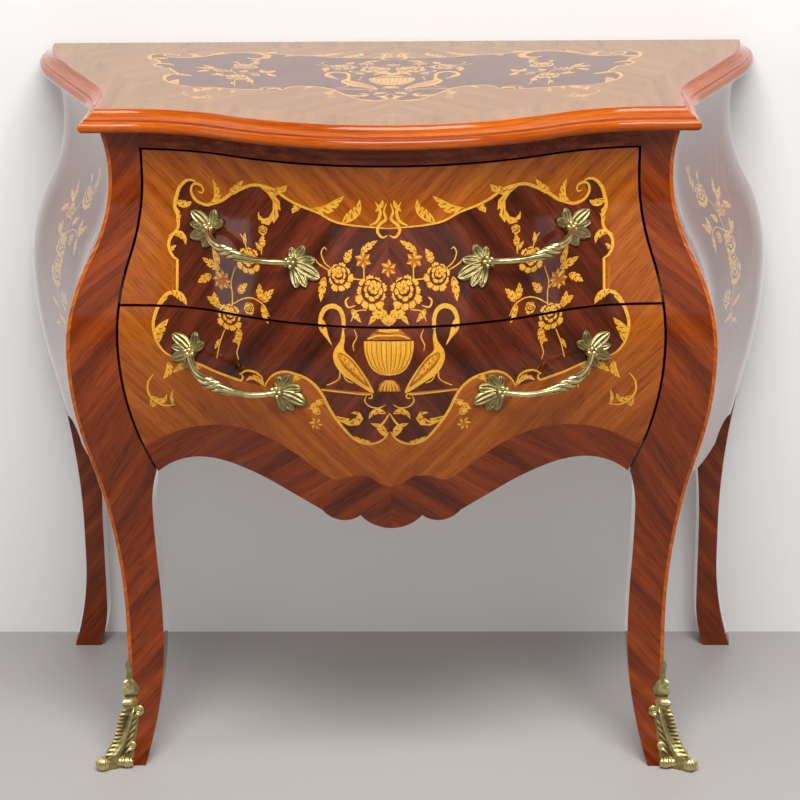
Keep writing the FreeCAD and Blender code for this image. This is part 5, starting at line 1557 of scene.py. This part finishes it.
plain("floor", [(-6, -6, 0), (6, -6, 0), (6, 6, 0), (-6, 6, 0)], (176, 172, 170), 0.55)
tree, shader = plain("wall", [(-6, WALL, 0), (6, WALL, 0), (6, WALL, 5), (-6, WALL, 5)],
                     (216, 215, 214), 0.8)
rays = tree.nodes.new("ShaderNodeLightPath").outputs
camera_ray, mirror_ray = rays["Is Camera Ray"], rays["Is Glossy Ray"]
glow = reckoned(tree, "ADD", camera_ray, reckoned(tree, "MULTIPLY", mirror_ray, MIRRORED_GLOW))
shader.inputs["Emission Color"].default_value = (1, 1, 1, 1)
tree.links.new(reckoned(tree, "MULTIPLY", glow, GLOW), shader.inputs["Emission Strength"])
behind = tree.nodes.new("ShaderNodeNewGeometry").outputs["Backfacing"]
in_front = reckoned(tree, "SUBTRACT", 1, behind)
shown = reckoned(tree, "MULTIPLY", reckoned(tree, "MAXIMUM", camera_ray, mirror_ray), in_front)
either = tree.nodes.new("ShaderNodeMixShader")
tree.links.new(shown, either.inputs[0])
tree.links.new(tree.nodes.new("ShaderNodeBsdfTransparent").outputs[0], either.inputs[1])
tree.links.new(shader.outputs[0], either.inputs[2])
tree.links.new(either.outputs[0], tree.nodes["Material Output"].inputs["Surface"])

world = bpy.data.worlds.new("studio")
world.use_nodes = True
rays = world.node_tree.nodes.new("ShaderNodeLightPath").outputs
background = world.node_tree.nodes["Background"]
background.inputs["Color"].default_value = (1, 1, 1, 1)
seen = reckoned(world.node_tree, "MULTIPLY", rays["Is Camera Ray"], BACKGROUND - DAYLIGHT)
world.node_tree.links.new(reckoned(world.node_tree, "ADD", seen, DAYLIGHT),
                          background.inputs["Strength"])
bpy.context.scene.world = world
print("floor and wall made")

# %% Light and camera
def area_light(name, place, target, size, power):
    """A soft rectangular lamp at a place, facing a target, with a power in watts."""
    data = bpy.data.lights.new(name, "AREA")
    data.shape = "RECTANGLE"
    data.size, data.size_y = size
    data.energy = power
    item = bpy.data.objects.new(name, data)
    item.location = place
    item.rotation_euler = (Vector(target) - Vector(place)).to_track_quat("-Z", "Y").to_euler()
    bpy.context.scene.collection.objects.link(item)


area_light("overhead", (0.2, -1.7, 3.0), (0, 0, 0.45), (2.2, 1.4), 128)
area_light("front_fill", (0.2, -4.2, 2.3), (0, 0, 0.4), (4.6, 2.6), 26)
area_light("rear_fill", (0.3, 3.2, 2.0), (0, 0.2, 0.4), (3.2, 2.2), 16)
area_light("left_wash", (-2.4, -0.9, 1.5), (-0.75, 0.24, 0.75), (1.0, 1.6), 10)
area_light("right_wash", (2.4, -0.9, 1.5), (0.75, 0.24, 0.75), (1.0, 1.6), 5)
bpy.context.scene.view_settings.view_transform = "Standard"

LENS = 111.27
SENSOR = 36
CAMERA_PLACE = (0.068, -2.712, 1.392)
PITCH = 19.89
YAW = -1.31
ROLL = -0.58
camera = bpy.data.cameras.new("camera")
camera.lens = LENS
camera.sensor_width = SENSOR
viewer = bpy.data.objects.new("camera", camera)
viewer.location = CAMERA_PLACE
level_turn = Euler((math.radians(90 - PITCH), 0, math.radians(-YAW))).to_matrix()
viewer.rotation_euler = (level_turn @ Matrix.Rotation(math.radians(ROLL), 3, "Z")).to_euler()
bpy.context.scene.collection.objects.link(viewer)
bpy.context.scene.camera = viewer
